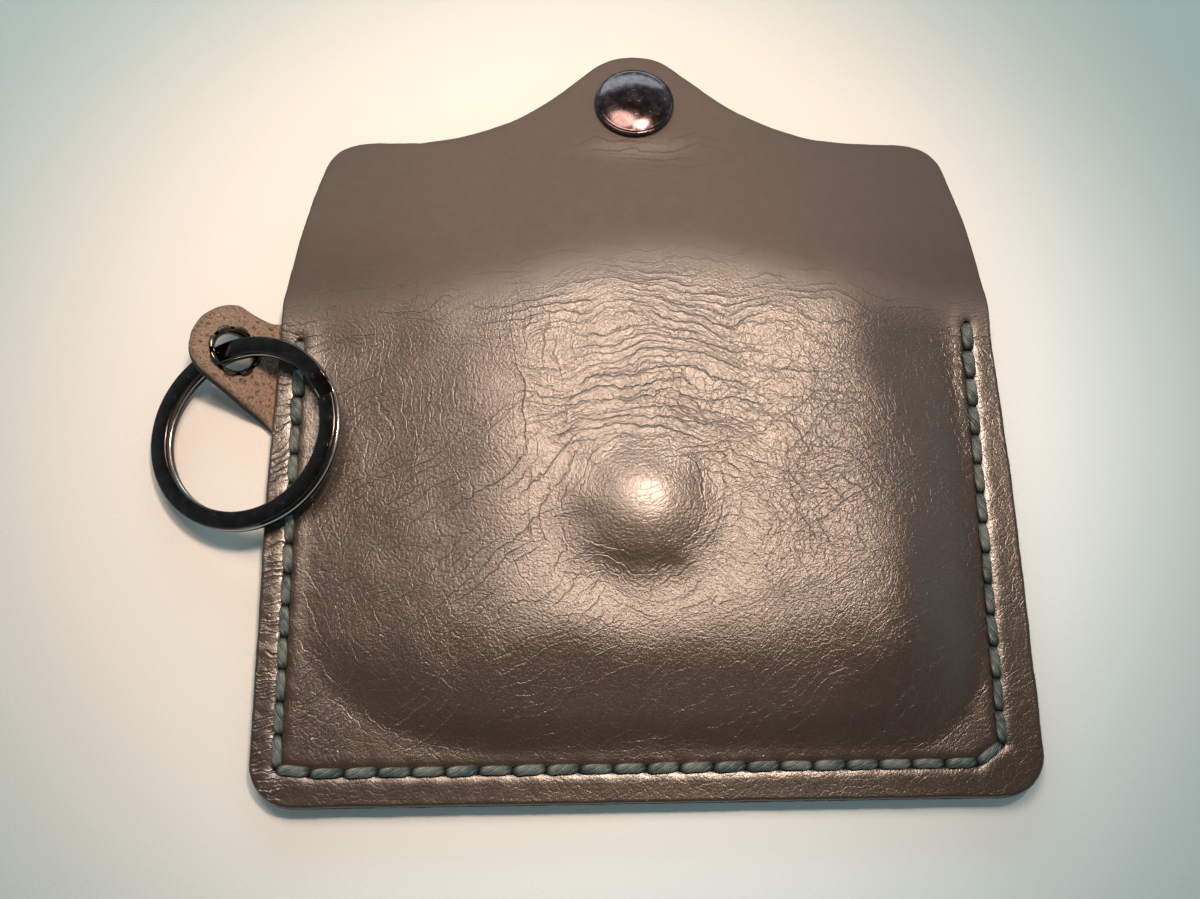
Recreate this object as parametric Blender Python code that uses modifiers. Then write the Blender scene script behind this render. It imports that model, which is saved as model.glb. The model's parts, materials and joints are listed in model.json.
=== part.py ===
# Keychain card wallet: a stitched leather pocket with a snap flap, and a split ring on a tab.
# Lengths are in metres. The wallet lies with its back up and its flap open: X runs across it,
# Y from the bottom edge towards the flap, Z up. The origin is on the front panel's rest face.
import math

import bmesh
import bpy
from mathutils import Matrix, Vector
from mathutils.geometry import interpolate_bezier, intersect_point_line

# leather
leather = 0.0015
panel_width = 0.100
bottom_corner_radius = 0.0055
rest_point_height = 0.020
side_taper_height = 0.040
waist_width = 0.0984
front_height = 0.065
layer_gap = 0.0003
fit_gap = 0.00025
node_gap = 0.0003
cut_overrun = 0.001

# pocket form, as heights of the back panel's flesh side over the rest face
mouth_height = 0.0061
belly_height = 0.0052
nub_height = 0.0063
seam_width = 0.0056
flank_width = 0.0145
belly_rise_height = 0.020
mouth_rise_start = 0.041
mouth_rise_end = 0.049
nub_flat_radius = 0.0047
nub_radius = 0.0095
snap_patch = 0.013

# fold and flap: the middle and the end of the fold above the front panel, then lengths along
# the leather from the middle of the fold
fold_rise = 0.0023
fold_reach = 0.0086
stud_height = 0.0372
shoulder_length = 0.0236
shoulder_width = 0.0858
shoulder_flat_width = 0.066
shoulder_corner_radius = 0.0055
nose_radius = 0.0089
nose_tangent_degrees = 32.0
nose_handle = 0.005
shoulder_handle = 0.0135
shoulder_rise = 0.0009
closed_gap = 0.0006

# seam
seam_margin = 0.0036
seam_bottom_margin = 0.0042
seam_top_margin = 0.0024
stitch_pitch = 0.0042
thread_radius = 0.0004
thread_offset = 0.00053
thread_clearance = 0.00015

# snap fastener
socket_radius = 0.0050
socket_height = 0.00295
socket_mouth_radius = 0.00245
socket_wall = 0.00035
spring_wire_radius = 0.00025
spring_inner_radius = 0.00178
spring_gap_degrees = 40.0
spring_lip_gap = 0.00012
stud_flange_radius = 0.0042
stud_flange = 0.0005
stud_length = 0.0022
stud_head_radius = 0.0020
stud_neck_radius = 0.00155
stud_head_share = 0.36
stud_wall = 0.00035
lid_gap = 0.0003
stud_disc_radius = 0.0042
stud_disc = 0.0006
stud_post_radius = 0.00095
stud_flare = 0.0003
dome_roof_radius = 0.0059
dome_slope = 0.0046
cap_radius = 0.00575
cap_height = 0.0015
cap_wall = 0.00035
cap_curl = 0.0006
cap_base_radius = 0.0049
cap_post_radius = 0.0013
cap_post_flare = 0.0004
post_hole_clearance = 0.0003

# key tab and eyelet
tab_top_margin = 0.0007
tab_root_width = 0.0152
tab_round_radius = 0.00525
tab_bend_reach = 0.0020
tab_tip_slope_share = 0.25
tab_top_dip = 0.0007
tab_tip_degrees = 78.0
tab_slant_degrees = 45.0
bore_radius = 0.0026
bore_half_length = 0.00035
throat_radius = 0.00315
mouth_radius = 0.0035
eyelet_wall = 0.00025
eyelet_rim_radius = 0.0042
eyelet_petal_radius = 0.0041
eyelet_plate = 0.0003
petal_slit = 0.0003
petal_count = 8

# split ring
ring_outer_radius = 0.01335
ring_band = 0.0024
ring_wire = 0.0009
ring_turn_gap = 0.00044
ring_edge = 0.0002
ring_centre_reach = 0.0028
ring_centre_drop = 0.0010
ring_tilt_degrees = 15.0
ring_seat_degrees = 103.3
ring_step_degrees = 27.0
ring_step_length = 0.0030
ring_floor_gap = 0.00005
ring_hang = 0.00017

# fineness of the solids
arc_steps = 4
round_steps = 20
ring_steps = 40
patch_rings = 5
weld_distance = 0.00001
fold_row_shares = (0, 0.07, 0.25, 0.5, 0.75, 0.93, 1)


def smooth(share):
    share = min(max(share, 0), 1)
    return share * share * (3 - 2 * share)


def radians_between(start, end, count):
    return [math.radians(start + (end - start) * i / count) for i in range(count + 1)]


def between(start, end, count):
    return [start + (end - start) * i / count for i in range(1, count + 1)]


# places that follow from the sizes
half_width = panel_width / 2
bottom_y = -rest_point_height
front_top_y = bottom_y + front_height
fold_start_y = front_top_y
fold_y = front_top_y + fold_rise
fold_end_y = front_top_y + fold_reach
seam_high_y = front_top_y - seam_top_margin
tab_high_y = front_top_y - tab_top_margin
tab_low_y = tab_high_y - tab_root_width
tab_edge_x = -max(panel_width, waist_width) / 2
stud_y = bottom_y + stud_height
seam_flesh = leather + layer_gap
seam_top = seam_flesh + leather

# The closed flap's flesh side lies flat, closed_gap under the rest face, and its socket stands
# on the surface while the flap is open. Both fix the flap's slope and the height of its axis.
snap_distance = fold_y - stud_y
socket_depth = fit_gap + socket_height
slope_rise = mouth_height + closed_gap - socket_depth
slope_run = snap_distance + socket_radius
flap_slope = (math.acos(closed_gap / math.hypot(slope_rise, slope_run))
              - math.atan2(slope_run, slope_rise))
flesh_offset = (mouth_height + closed_gap) * math.cos(flap_slope) / (1 + math.cos(flap_slope))
axis_z = flesh_offset - closed_gap
flap_start = (fold_end_y - fold_y) / math.cos(flap_slope)

# heights of the fastener's stack on the front panel, from the closed flap upwards
stud_flange_low = socket_depth - closed_gap + lid_gap
stud_seat = stud_flange_low + stud_flange + fit_gap
dome_flesh = stud_seat + leather
stud_disc_low = dome_flesh + fit_gap
stud_tip = stud_flange_low - stud_length

# the ring lies on the surface at its left and goes through the tab's eyelet
ring_thickness = 2 * ring_wire + ring_turn_gap
ring_middle_radius = ring_outer_radius - ring_band / 2
ring_tilt = math.radians(ring_tilt_degrees)
ring_seat = math.radians(ring_seat_degrees)
ring_centre = Vector((
    tab_edge_x - ring_centre_reach,
    tab_low_y - ring_centre_drop,
    ring_outer_radius * math.sin(ring_tilt) + ring_thickness / 2 * math.cos(ring_tilt) + ring_floor_gap,
))
ring_turn = Matrix.Rotation(-ring_tilt, 4, "Y")
seat_vector = Vector((math.cos(ring_seat), math.sin(ring_seat), 0)) * (ring_middle_radius - ring_hang)
eyelet_centre = ring_centre + ring_turn @ seat_vector
tab_root_x = tab_edge_x - node_gap
tab_middle_reach = tab_root_x - eyelet_centre.x
tab_run = tab_middle_reach - tab_bend_reach / 2
tab_tilt = (math.acos(leather / 2 / math.hypot(eyelet_centre.z, tab_run))
            - math.atan2(tab_run, eyelet_centre.z))


def clear_scene():
    for item in list(bpy.data.objects):
        bpy.data.objects.remove(item, do_unlink=True)


def new_collection(name):
    collection = bpy.data.collections.new(name)
    bpy.context.scene.collection.children.link(collection)
    return collection


def new_material(name, colour, roughness, metallic):
    material = bpy.data.materials.new(name)
    material.use_nodes = True
    shader = material.node_tree.nodes["Principled BSDF"]
    shader.inputs["Base Color"].default_value = (*colour, 1)
    shader.inputs["Roughness"].default_value = roughness
    shader.inputs["Metallic"].default_value = metallic
    material.diffuse_color = (*colour, 1)
    return material


clear_scene()
parts = new_collection("keychain_card_wallet")
cutters = new_collection("cutters")
grain_leather = new_material("grain_leather", (0.115, 0.080, 0.060), 0.45, 0)
flesh_leather = new_material("flesh_leather", (0.280, 0.200, 0.160), 0.90, 0)
waxed_thread = new_material("waxed_thread", (0.080, 0.110, 0.115), 0.60, 0)
dark_metal = new_material("dark_metal", (0.035, 0.033, 0.036), 0.25, 1)
inner_metal = new_material("inner_metal", (0.350, 0.310, 0.250), 0.35, 1)


def add_part(name, mesh, material, parent=None):
    item = bpy.data.objects.new(name, mesh)
    parts.objects.link(item)
    item.parent = parent
    mesh.materials.clear()
    mesh.materials.append(material)
    return item


def add_cutter(name, mesh, parent=None):
    item = bpy.data.objects.new(name, mesh)
    cutters.objects.link(item)
    item.parent = parent
    item.hide_render = True
    item.display_type = "WIRE"
    return item


def add_pivot(name, location, turn=None):
    pivot = bpy.data.objects.new(name, None)
    parts.objects.link(pivot)
    pivot.location = location
    pivot.rotation_euler = (turn or Matrix.Identity(4)).to_euler()
    return pivot


def cut(item, cutter):
    modifier = item.modifiers.new(cutter.name, "BOOLEAN")
    modifier.operation = "DIFFERENCE"
    modifier.object = cutter
    modifier.solver = "EXACT"


def smooth_faces(mesh, degrees=35.0):
    mesh.shade_smooth()
    mesh.set_sharp_from_angle(angle=math.radians(degrees))


def mesh_of_curve(name, curve):
    """The closed mesh of a curve, with its caps joined to its sides."""
    item = bpy.data.objects.new(name + "_curve", curve)
    bpy.context.scene.collection.objects.link(item)
    bpy.context.view_layer.update()
    evaluated = item.evaluated_get(bpy.context.evaluated_depsgraph_get())
    mesh = bpy.data.meshes.new_from_object(evaluated)
    mesh.name = name
    bpy.data.objects.remove(item, do_unlink=True)
    shape = bmesh.new()
    shape.from_mesh(mesh)
    bmesh.ops.remove_doubles(shape, verts=shape.verts, dist=weld_distance)
    bmesh.ops.recalc_face_normals(shape, faces=shape.faces)
    shape.to_mesh(mesh)
    shape.free()
    return mesh


def flat_mesh(name, outline, thickness, centre_z):
    """A plate of the outline, centred on the height centre_z."""
    curve = bpy.data.curves.new(name, "CURVE")
    curve.dimensions = "2D"
    curve.fill_mode = "BOTH"
    curve.extrude = thickness / 2
    curve.render_resolution_u = 0
    spline = curve.splines.new("POLY")
    spline.points.add(len(outline) - 1)
    for point, place in zip(spline.points, outline):
        point.co = (*place, 0, 1)
    spline.use_cyclic_u = True
    mesh = mesh_of_curve(name, curve)
    mesh.transform(Matrix.Translation((0, 0, centre_z)))
    return mesh


def tube_mesh(name, points, radius):
    """A round tube along the points, with six sides and closed ends."""
    curve = bpy.data.curves.new(name, "CURVE")
    curve.dimensions = "3D"
    curve.bevel_depth = radius
    curve.bevel_resolution = 1
    curve.use_fill_caps = True
    curve.render_resolution_u = 0
    spline = curve.splines.new("POLY")
    spline.points.add(len(points) - 1)
    for point, place in zip(spline.points, points):
        point.co = (*place, 1)
    return mesh_of_curve(name, curve)


def sheet_mesh(name, columns, rows, place):
    """An open sheet of columns by rows cells; place gives the point of a column and a row."""
    shape = bmesh.new()
    bmesh.ops.create_grid(shape, x_segments=columns, y_segments=rows, size=1)
    for vertex in shape.verts:
        column = round((vertex.co.x + 1) / 2 * columns)
        row = round((vertex.co.y + 1) / 2 * rows)
        vertex.co = place(column, row)
    mesh = bpy.data.meshes.new(name)
    shape.to_mesh(mesh)
    shape.free()
    return mesh


def thicken(item, thickness):
    modifier = item.modifiers.new("thickness", "SOLIDIFY")
    modifier.thickness = thickness
    modifier.offset = 1
    modifier.use_even_offset = True


def turned_part(name, profile, material, parent):
    """A solid of revolution about Z; the closed profile runs down its outer side."""
    shape = bmesh.new()
    corners = [shape.verts.new((radius, 0, height)) for radius, height in profile]
    for start, end in zip(corners, corners[1:] + corners[:1]):
        shape.edges.new((start, end))
    mesh = bpy.data.meshes.new(name)
    shape.to_mesh(mesh)
    shape.free()
    item = add_part(name, mesh, material, parent)
    modifier = item.modifiers.new("turn", "SCREW")
    modifier.steps = round_steps
    modifier.render_steps = round_steps
    modifier.use_merge_vertices = True
    modifier.merge_threshold = weld_distance
    modifier.use_smooth_shade = True
    return item


def cylinder_cutter(name, radius, low, high, parent, place=(0, 0)):
    shape = bmesh.new()
    bmesh.ops.create_cone(shape, cap_ends=True, segments=round_steps, radius1=radius, radius2=radius,
                          depth=high - low, matrix=Matrix.Translation((*place, (low + high) / 2)))
    mesh = bpy.data.meshes.new(name)
    shape.to_mesh(mesh)
    shape.free()
    return add_cutter(name, mesh, parent)


def arc(centre, radius, start, end, count):
    return [(centre[0] + radius * math.cos(a), centre[1] + radius * math.sin(a))
            for a in radians_between(start, end, count)]


# pocket panels

def side_at(y):
    """Half the leather's width at y, on the body and the fold."""
    height = y - bottom_y
    if height < bottom_corner_radius:
        drop = bottom_corner_radius - height
        return half_width - bottom_corner_radius + math.sqrt(max(bottom_corner_radius ** 2 - drop ** 2, 0))
    if height < side_taper_height:
        return half_width
    taper = (height - side_taper_height) / (front_height - side_taper_height)
    if taper < 1:
        return half_width + (waist_width / 2 - half_width) * taper
    flare = (height - front_height) / (fold_rise + shoulder_length)
    return waist_width / 2 + (shoulder_width / 2 - waist_width / 2) * flare


def panel_rows(top_y):
    """Heights of a panel's rows: its corner arcs, and even rows through the patch of the snap."""
    corner = [bottom_y + bottom_corner_radius * (1 - math.cos(a)) for a in radians_between(0, 90, arc_steps)]
    rows = corner + between(corner[-1], stud_y - snap_patch, arc_steps)
    rows += between(rows[-1], stud_y + snap_patch, 2 * patch_rings)
    return rows + between(rows[-1], top_y, arc_steps - 1)


def panel_columns():
    """Places of the columns across a panel of full width, from left to right."""
    half = [0] + between(0, snap_patch, patch_rings)
    half += between(snap_patch, half_width - seam_width - flank_width, 2)
    half += between(half[-1], half_width - seam_width, arc_steps)
    half += [half_width]
    return [-x for x in reversed(half[1:])] + half


columns = panel_columns()
middle_column = len(columns) // 2
middle_row = 2 * arc_steps + patch_rings


def across(column, y):
    """The place across the leather of a column at y: its outer columns follow the edge."""
    x = columns[column]
    if abs(x) <= snap_patch:
        return x
    if abs(x) <= half_width - seam_width:
        return x * min(side_at(y) / half_width, 1)
    return math.copysign(side_at(y), x)


def round_patch(column, row, flat_radius, foot_radius):
    """The place of a corner of the snap's patch, whose inner rings are drawn round."""
    i = column - middle_column
    j = row - middle_row
    ring = max(abs(i), abs(j))
    if ring == 0 or ring >= patch_rings:
        return None
    half = (patch_rings - 1) / 2
    radius = flat_radius * ring / half
    if ring > half:
        radius = flat_radius + (foot_radius - flat_radius) * (ring - half) / half
    direction = Vector((i, j)).normalized() * radius
    return direction.x, stud_y + direction.y


def belly_at(y):
    height = y - bottom_y
    rise = smooth((height - seam_width) / (belly_rise_height - seam_width))
    mouth = smooth((height - mouth_rise_start) / (mouth_rise_end - mouth_rise_start))
    low = seam_flesh + (belly_height - seam_flesh) * rise
    return low + (mouth_height - belly_height) * mouth


def back_flesh(x, y):
    """Height of the back panel's flesh side: a puffed pocket with a nub over the stud."""
    inner = (half_width - seam_width) * min(side_at(y) / half_width, 1)
    flank = smooth((inner - abs(x)) / flank_width)
    height = seam_flesh + (belly_at(y) - seam_flesh) * flank
    distance = math.hypot(x, y - stud_y)
    nub = smooth((nub_radius - distance) / (nub_radius - nub_flat_radius))
    return height + (nub_height - height) * nub


def front_rest(x, y):
    """Height of the front panel's grain side: flat, with a dome that holds the stud."""
    distance = math.hypot(x, y - stud_y)
    return stud_seat * smooth(1 - (distance - dome_roof_radius) / dome_slope)


def make_panel(name, top_y, surface, flat_radius, foot_radius, material):
    rows = panel_rows(top_y)

    def place(column, row):
        x, y = round_patch(column, row, flat_radius, foot_radius) or (across(column, rows[row]), rows[row])
        return Vector((x, y, surface(x, y)))

    item = add_part(name, sheet_mesh(name, len(columns) - 1, len(rows) - 1, place), material)
    thicken(item, leather)
    return item


def make_fold_strip():
    """The bending strip between pocket and flap, from the puffed mouth to the flat flap."""
    start = fold_start_y + node_gap / 2
    end = fold_end_y - node_gap / 2
    rows = [start + (end - start) * share for share in fold_row_shares]

    def place(column, row):
        y = rows[row]
        x = across(column, y)
        share = smooth((y - fold_start_y) / (fold_end_y - fold_start_y))
        flat = mouth_height - (y - fold_y) * math.tan(flap_slope)
        return Vector((x, y, back_flesh(x, y) + (flat - back_flesh(x, y)) * share))

    mesh = sheet_mesh("fold_strip", len(columns) - 1, len(rows) - 1, place)
    item = add_part("fold_strip", mesh, grain_leather)
    thicken(item, leather)
    return item


# seam: a saddle stitch of two threads through one row of slits

def seam_holes():
    """Places and across directions of the slits, down the left side, along the bottom and up.

    The across direction points inwards, but outwards on the corners, so that no span crosses another.
    """
    side = half_width - seam_margin
    low = bottom_y + seam_bottom_margin
    high = seam_high_y
    side_count = 2 * round((high - low) / stitch_pitch / 2)
    bottom_count = 2 * round(2 * side / stitch_pitch / 2)
    holes = [(Vector((-side, high + (low - high) * i / side_count, 0)), Vector((1, 0, 0)))
             for i in range(side_count)]
    holes.append((Vector((-side, low, 0)), Vector((-1, -1, 0))))
    holes += [(Vector((-side + 2 * side * i / bottom_count, low, 0)), Vector((0, 1, 0)))
              for i in range(1, bottom_count)]
    holes.append((Vector((side, low, 0)), Vector((1, -1, 0))))
    holes += [(Vector((side, low + (high - low) * i / side_count, 0)), Vector((-1, 0, 0)))
              for i in range(1, side_count + 1)]
    return holes


holes = seam_holes()
slit_end = thread_radius + thread_clearance
slit_half_width = thread_radius + thread_clearance
groove_depth = 2 * thread_radius + thread_clearance
thread_high = seam_top + thread_radius + thread_clearance
thread_low = groove_depth - thread_radius - thread_clearance / 2


def make_slit_cutter():
    shape = bmesh.new()
    height = seam_top + 2 * cut_overrun
    for place, side in holes:
        turn = Matrix.Rotation(math.atan2(side.y, side.x), 4, "Z")
        length = 2 * (thread_offset * side.length + slit_end)
        size = Matrix.Diagonal((length, 2 * slit_half_width, height, 1))
        move = Matrix.Translation(place + Vector((0, 0, seam_top / 2)))
        bmesh.ops.create_cube(shape, size=1, matrix=move @ turn @ size)
    mesh = bpy.data.meshes.new("slits")
    shape.to_mesh(mesh)
    shape.free()
    return add_cutter("slits", mesh)


def make_groove_cutter():
    """The groove in the front panel's face that lets the thread lie under the rest face."""
    side = half_width - seam_margin
    low = bottom_y + seam_bottom_margin
    high = seam_high_y + slit_half_width + thread_clearance
    reach = thread_offset + slit_end + thread_clearance
    outline = [(-side - reach, high), (-side - reach, low - reach), (side + reach, low - reach),
               (side + reach, high), (side - reach, high), (side - reach, low + reach),
               (-side + reach, low + reach), (-side + reach, high)]
    thickness = groove_depth + cut_overrun
    return add_cutter("groove", flat_mesh("groove", outline, thickness, groove_depth - thickness / 2))


def thread_points(first_on_top):
    """One thread's route: over and under by turns, entering each slit on its inner side."""
    points = []
    turn_in = slit_half_width
    on_top = first_on_top
    for (start, start_side), (end, end_side) in zip(holes, holes[1:]):
        lean = thread_offset if not on_top else -thread_offset
        begin = start + start_side * lean
        finish = end - end_side * lean
        along = (finish - begin).normalized() * turn_in / 2
        level = thread_high if on_top else thread_low
        inside = level - turn_in / 2 if on_top else level + turn_in / 2
        points.append(begin + Vector((0, 0, inside)))
        points.append(begin + along + Vector((0, 0, level)))
        points.append(finish - along + Vector((0, 0, level)))
        points.append(finish + Vector((0, 0, inside)))
        on_top = not on_top
    return points


def make_thread(name, first_on_top):
    mesh = tube_mesh(name, thread_points(first_on_top), thread_radius)
    smooth_faces(mesh)
    return add_part(name, mesh, waxed_thread)


# flap

def flap_outline():
    """Right half of the flap from the fold to the nose, then the same mirrored."""
    start = flap_start + node_gap / 2
    low_half = side_at(fold_end_y)
    corner_half = shoulder_width / 2
    taper = math.atan2(low_half - corner_half, shoulder_length - start)
    corner_turn = math.pi / 2 - taper
    inset = shoulder_corner_radius * math.tan(corner_turn / 2)
    centre = (corner_half - inset, shoulder_length - shoulder_corner_radius)
    points = [(low_half, start)]
    points += arc(centre, shoulder_corner_radius, math.degrees(taper), 90.0, arc_steps + 1)
    tangent = math.radians(nose_tangent_degrees)
    nose = Vector((nose_radius * math.cos(tangent), snap_distance + nose_radius * math.sin(tangent)))
    shoulder = Vector((shoulder_flat_width / 2, shoulder_length))
    nose_pull = nose + Vector((math.sin(tangent), -math.cos(tangent))) * nose_handle
    shoulder_pull = shoulder + Vector((-shoulder_handle, shoulder_rise))
    sweep = interpolate_bezier(shoulder, shoulder_pull, nose_pull, nose, 3 * arc_steps)
    points += [tuple(p) for p in sweep[:-1]]
    points += arc((0, snap_distance), nose_radius, nose_tangent_degrees, 90.0, 2 * arc_steps)
    return points + [(-x, y) for x, y in reversed(points[:-1])]


flap_pivot = add_pivot("flap_hinge", (0, fold_y, axis_z), Matrix.Rotation(-flap_slope, 4, "X"))


def make_flap():
    mesh = flat_mesh("flap", flap_outline(), leather, flesh_offset + leather / 2)
    item = add_part("flap", mesh, grain_leather, flap_pivot)
    hole = cylinder_cutter("cap_post_hole", cap_post_radius + post_hole_clearance,
                           flesh_offset - cut_overrun, flesh_offset + leather + cut_overrun,
                           flap_pivot, (0, snap_distance))
    cut(item, hole)
    return item


# snap fastener: cap, its post and the socket on the flap; stud and its post on the front panel

cap_pivot = add_pivot("cap_seat", (0, snap_distance, flesh_offset))
cap_pivot.parent = flap_pivot
stud_pivot = add_pivot("stud_seat", (0, stud_y, 0))


def dome_profile(radius, height, low, count, start=0.0, end=90.0):
    """A quarter ellipse from the rim up to the crown, as radius and height."""
    return [(radius * math.cos(a), low + height * math.sin(a)) for a in radians_between(start, end, count)]


def make_cap():
    """The domed shell, whose rim curls in under the post's base."""
    low = leather + fit_gap
    inner = cap_radius - cap_wall
    dome_low = low + cap_curl
    outer = dome_profile(cap_radius, cap_height + low - dome_low, dome_low, arc_steps + 1)
    inside = dome_profile(inner, cap_height + low - dome_low - cap_wall, dome_low, arc_steps + 1)
    lip = cap_base_radius - cap_wall
    profile = list(reversed(outer))
    profile += [(cap_radius - cap_wall / 3, low + cap_wall / 3), (inner, low), (lip, low)]
    profile += [(lip, low + cap_wall * 2 / 3), (inner - cap_wall / 3, low + cap_wall * 2 / 3)]
    profile += inside
    profile[-1] = (0, profile[-1][1])
    profile[0] = (0, profile[0][1])
    return turned_part("snap_cap", profile, dark_metal, cap_pivot)


def lip_radius():
    return cap_base_radius - cap_wall - fit_gap


def low_seat():
    return leather + fit_gap


def make_cap_post():
    """The disc inside the cap, and its post through the leather, flared in the socket."""
    base = leather + fit_gap + cap_wall * 2 / 3 + fit_gap / 2
    top = base + cap_wall
    disc = cap_base_radius - fit_gap
    floor = -fit_gap - socket_wall
    flare = floor - fit_gap / 2
    end = flare - cap_wall
    radius = cap_post_radius
    profile = [(0, top), (disc, top), (disc, base), (lip_radius(), base), (lip_radius(), low_seat()),
               (radius, low_seat()), (radius, flare), (radius + cap_post_flare, flare),
               (radius + cap_post_flare, end), (0, end)]
    return turned_part("cap_post", profile, inner_metal, cap_pivot)


def make_socket():
    """A cup on the flap's flesh side with a curled mouth that traps the ring spring."""
    base = -fit_gap
    floor = base - socket_wall
    rim = base - socket_height
    bore = cap_post_radius + post_hole_clearance
    inner = socket_radius - socket_wall
    round_edge = socket_wall
    profile = [(bore, base), (socket_radius, base), (socket_radius, rim + round_edge),
               (socket_radius - round_edge, rim), (socket_mouth_radius + round_edge, rim),
               (socket_mouth_radius, rim + round_edge / 2), (socket_mouth_radius, rim + socket_wall),
               (inner, rim + socket_wall), (inner, floor), (bore, floor)]
    return turned_part("snap_socket", profile, dark_metal, cap_pivot)


def spring_level():
    """Height of the ring spring under the flap's flesh side: just inside the socket's mouth."""
    return -fit_gap - socket_height + socket_wall + spring_lip_gap + spring_wire_radius


def make_spring():
    """The open wire ring that grips the stud's neck inside the socket."""
    radius = spring_inner_radius + spring_wire_radius
    level = spring_level()
    turn = radians_between(spring_gap_degrees / 2, 360 - spring_gap_degrees / 2, round_steps)
    points = [Vector((radius * math.cos(a), radius * math.sin(a), level)) for a in turn]
    mesh = tube_mesh("snap_spring", points, spring_wire_radius)
    smooth_faces(mesh)
    return add_part("snap_spring", mesh, inner_metal, cap_pivot)


def make_stud():
    """The hollow stud on the front panel's grain side: flange, neck and head."""
    seat = stud_seat - fit_gap
    low = stud_flange_low
    tip = stud_tip
    head_high = tip + stud_length * stud_head_share
    neck = stud_neck_radius
    head = stud_head_radius
    wall = stud_wall
    profile = [(neck - wall, seat), (stud_flange_radius, seat), (stud_flange_radius, low),
               (neck, low), (neck, head_high), (head, head_high - wall), (head, tip + wall),
               (head - wall, tip), (0, tip), (0, tip + wall), (head - wall, tip + wall),
               (head - wall, head_high - wall), (neck - wall, head_high)]
    return turned_part("snap_stud", profile, dark_metal, stud_pivot)


def make_stud_post():
    """The disc inside the pocket, and its post through the leather, flared in the stud."""
    low = stud_disc_low
    high = low + stud_disc
    flare_low = stud_tip + stud_wall + fit_gap / 2
    flare_high = flare_low + stud_flare
    radius = stud_post_radius
    flare = radius + stud_flare
    edge = stud_disc / 2
    profile = [(0, high), (stud_disc_radius - 2 * edge, high), (stud_disc_radius, low + edge / 2),
               (stud_disc_radius - edge / 2, low), (radius, low), (radius, flare_high),
               (flare, flare_high - stud_flare / 2), (flare, flare_low), (0, flare_low)]
    return turned_part("stud_post", profile, inner_metal, stud_pivot)


# key tab, eyelet and split ring

tab_pivot = add_pivot("tab_hinge", (tab_root_x, eyelet_centre.y, 0))
eyelet_turn = Matrix.Rotation(tab_tilt, 4, "Y")
eyelet_pivot = add_pivot("eyelet_seat", eyelet_centre - Vector(tab_pivot.location), eyelet_turn)
eyelet_pivot.parent = tab_pivot


def tab_grain(reach):
    """Height of the tab's lower side at a reach: a bend, a slope through the eyelet, an easing tip."""
    slope = math.tan(tab_tilt)
    if reach < tab_bend_reach:
        return slope * reach ** 2 / (2 * tab_bend_reach)
    flat_reach = tab_middle_reach + eyelet_rim_radius * math.cos(tab_tilt)
    over = max(reach - flat_reach, 0)
    full = max(tab_middle_reach + tab_round_radius - flat_reach, weld_distance)
    loss = slope * (1 - tab_tip_slope_share) * over ** 2 / (2 * full)
    return slope * (reach - tab_bend_reach / 2) - loss


def tab_edges(reach):
    """The tab's lower and upper edge at a reach: a round end, a slanted and a dipped side."""
    middle = tab_middle_reach
    offset = reach - middle
    half = math.sqrt(max(tab_round_radius ** 2 - offset ** 2, 0)) if offset > 0 else tab_round_radius
    share = reach / middle
    corner = math.sin(math.radians(tab_slant_degrees))
    slant_reach = middle + tab_round_radius * corner
    slant_low = eyelet_centre.y - tab_round_radius * corner
    low = eyelet_centre.y - half
    if reach < slant_reach:
        low = tab_low_y + (slant_low - tab_low_y) * reach / slant_reach
    high = eyelet_centre.y + half
    if reach < middle:
        high = tab_high_y + (high - tab_high_y) * share - tab_top_dip * math.sin(math.pi * share)
    return low, high


def make_tab():
    tip_turn = radians_between(0, tab_tip_degrees, 2 * arc_steps)
    middle = tab_middle_reach
    reaches = [0] + between(0, tab_bend_reach, arc_steps)
    reaches += between(tab_bend_reach, middle, arc_steps)[:-1]
    reaches += [middle + tab_round_radius * math.sin(a) for a in tip_turn]
    rows = arc_steps + 2

    def place(column, row):
        reach = reaches[len(reaches) - 1 - column]
        low, high = tab_edges(reach)
        y = low + (high - low) * row / rows - eyelet_centre.y
        return Vector((-reach, y, tab_grain(reach)))

    mesh = sheet_mesh("key_tab", len(reaches) - 1, rows, place)
    item = add_part("key_tab", mesh, flesh_leather, tab_pivot)
    thicken(item, leather)
    reach = leather + cut_overrun
    hole = cylinder_cutter("eyelet_hole", throat_radius + eyelet_wall + fit_gap, -reach, reach, eyelet_pivot)
    cut(item, hole)
    return item


def make_eyelet():
    """A barrel that widens to both ends, with a rim on the grain side and a split collar on the other."""
    seat = leather / 2 + fit_gap
    face = seat + eyelet_plate
    throat = throat_radius + eyelet_wall
    barrel = bore_radius + eyelet_wall
    waist = bore_half_length
    profile = [(eyelet_petal_radius, face - eyelet_plate / 2), (eyelet_petal_radius, seat), (throat, seat),
               (barrel, waist), (barrel, -waist), (throat, -seat),
               (eyelet_rim_radius, -seat), (eyelet_rim_radius, -face),
               (mouth_radius, -face), (throat_radius, -seat), (bore_radius, -waist),
               (bore_radius, waist), (throat_radius, seat), (mouth_radius, face)]
    item = turned_part("eyelet", profile, dark_metal, eyelet_pivot)
    shape = bmesh.new()
    length = eyelet_petal_radius + cut_overrun - throat_radius
    for i in range(petal_count):
        turn = Matrix.Rotation(2 * math.pi * i / petal_count, 4, "Z")
        move = Matrix.Translation((throat_radius + length / 2, 0, face))
        size = Matrix.Diagonal((length, petal_slit, 2 * (face - leather / 2), 1))
        bmesh.ops.create_cube(shape, size=1, matrix=turn @ move @ size)
    mesh = bpy.data.meshes.new("petal_slits")
    shape.to_mesh(mesh)
    shape.free()
    cut(item, add_cutter("petal_slits", mesh, eyelet_pivot))
    return item


def spread(start, end, count):
    return [start + (end - start) * i / count for i in range(count + 1)]


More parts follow.
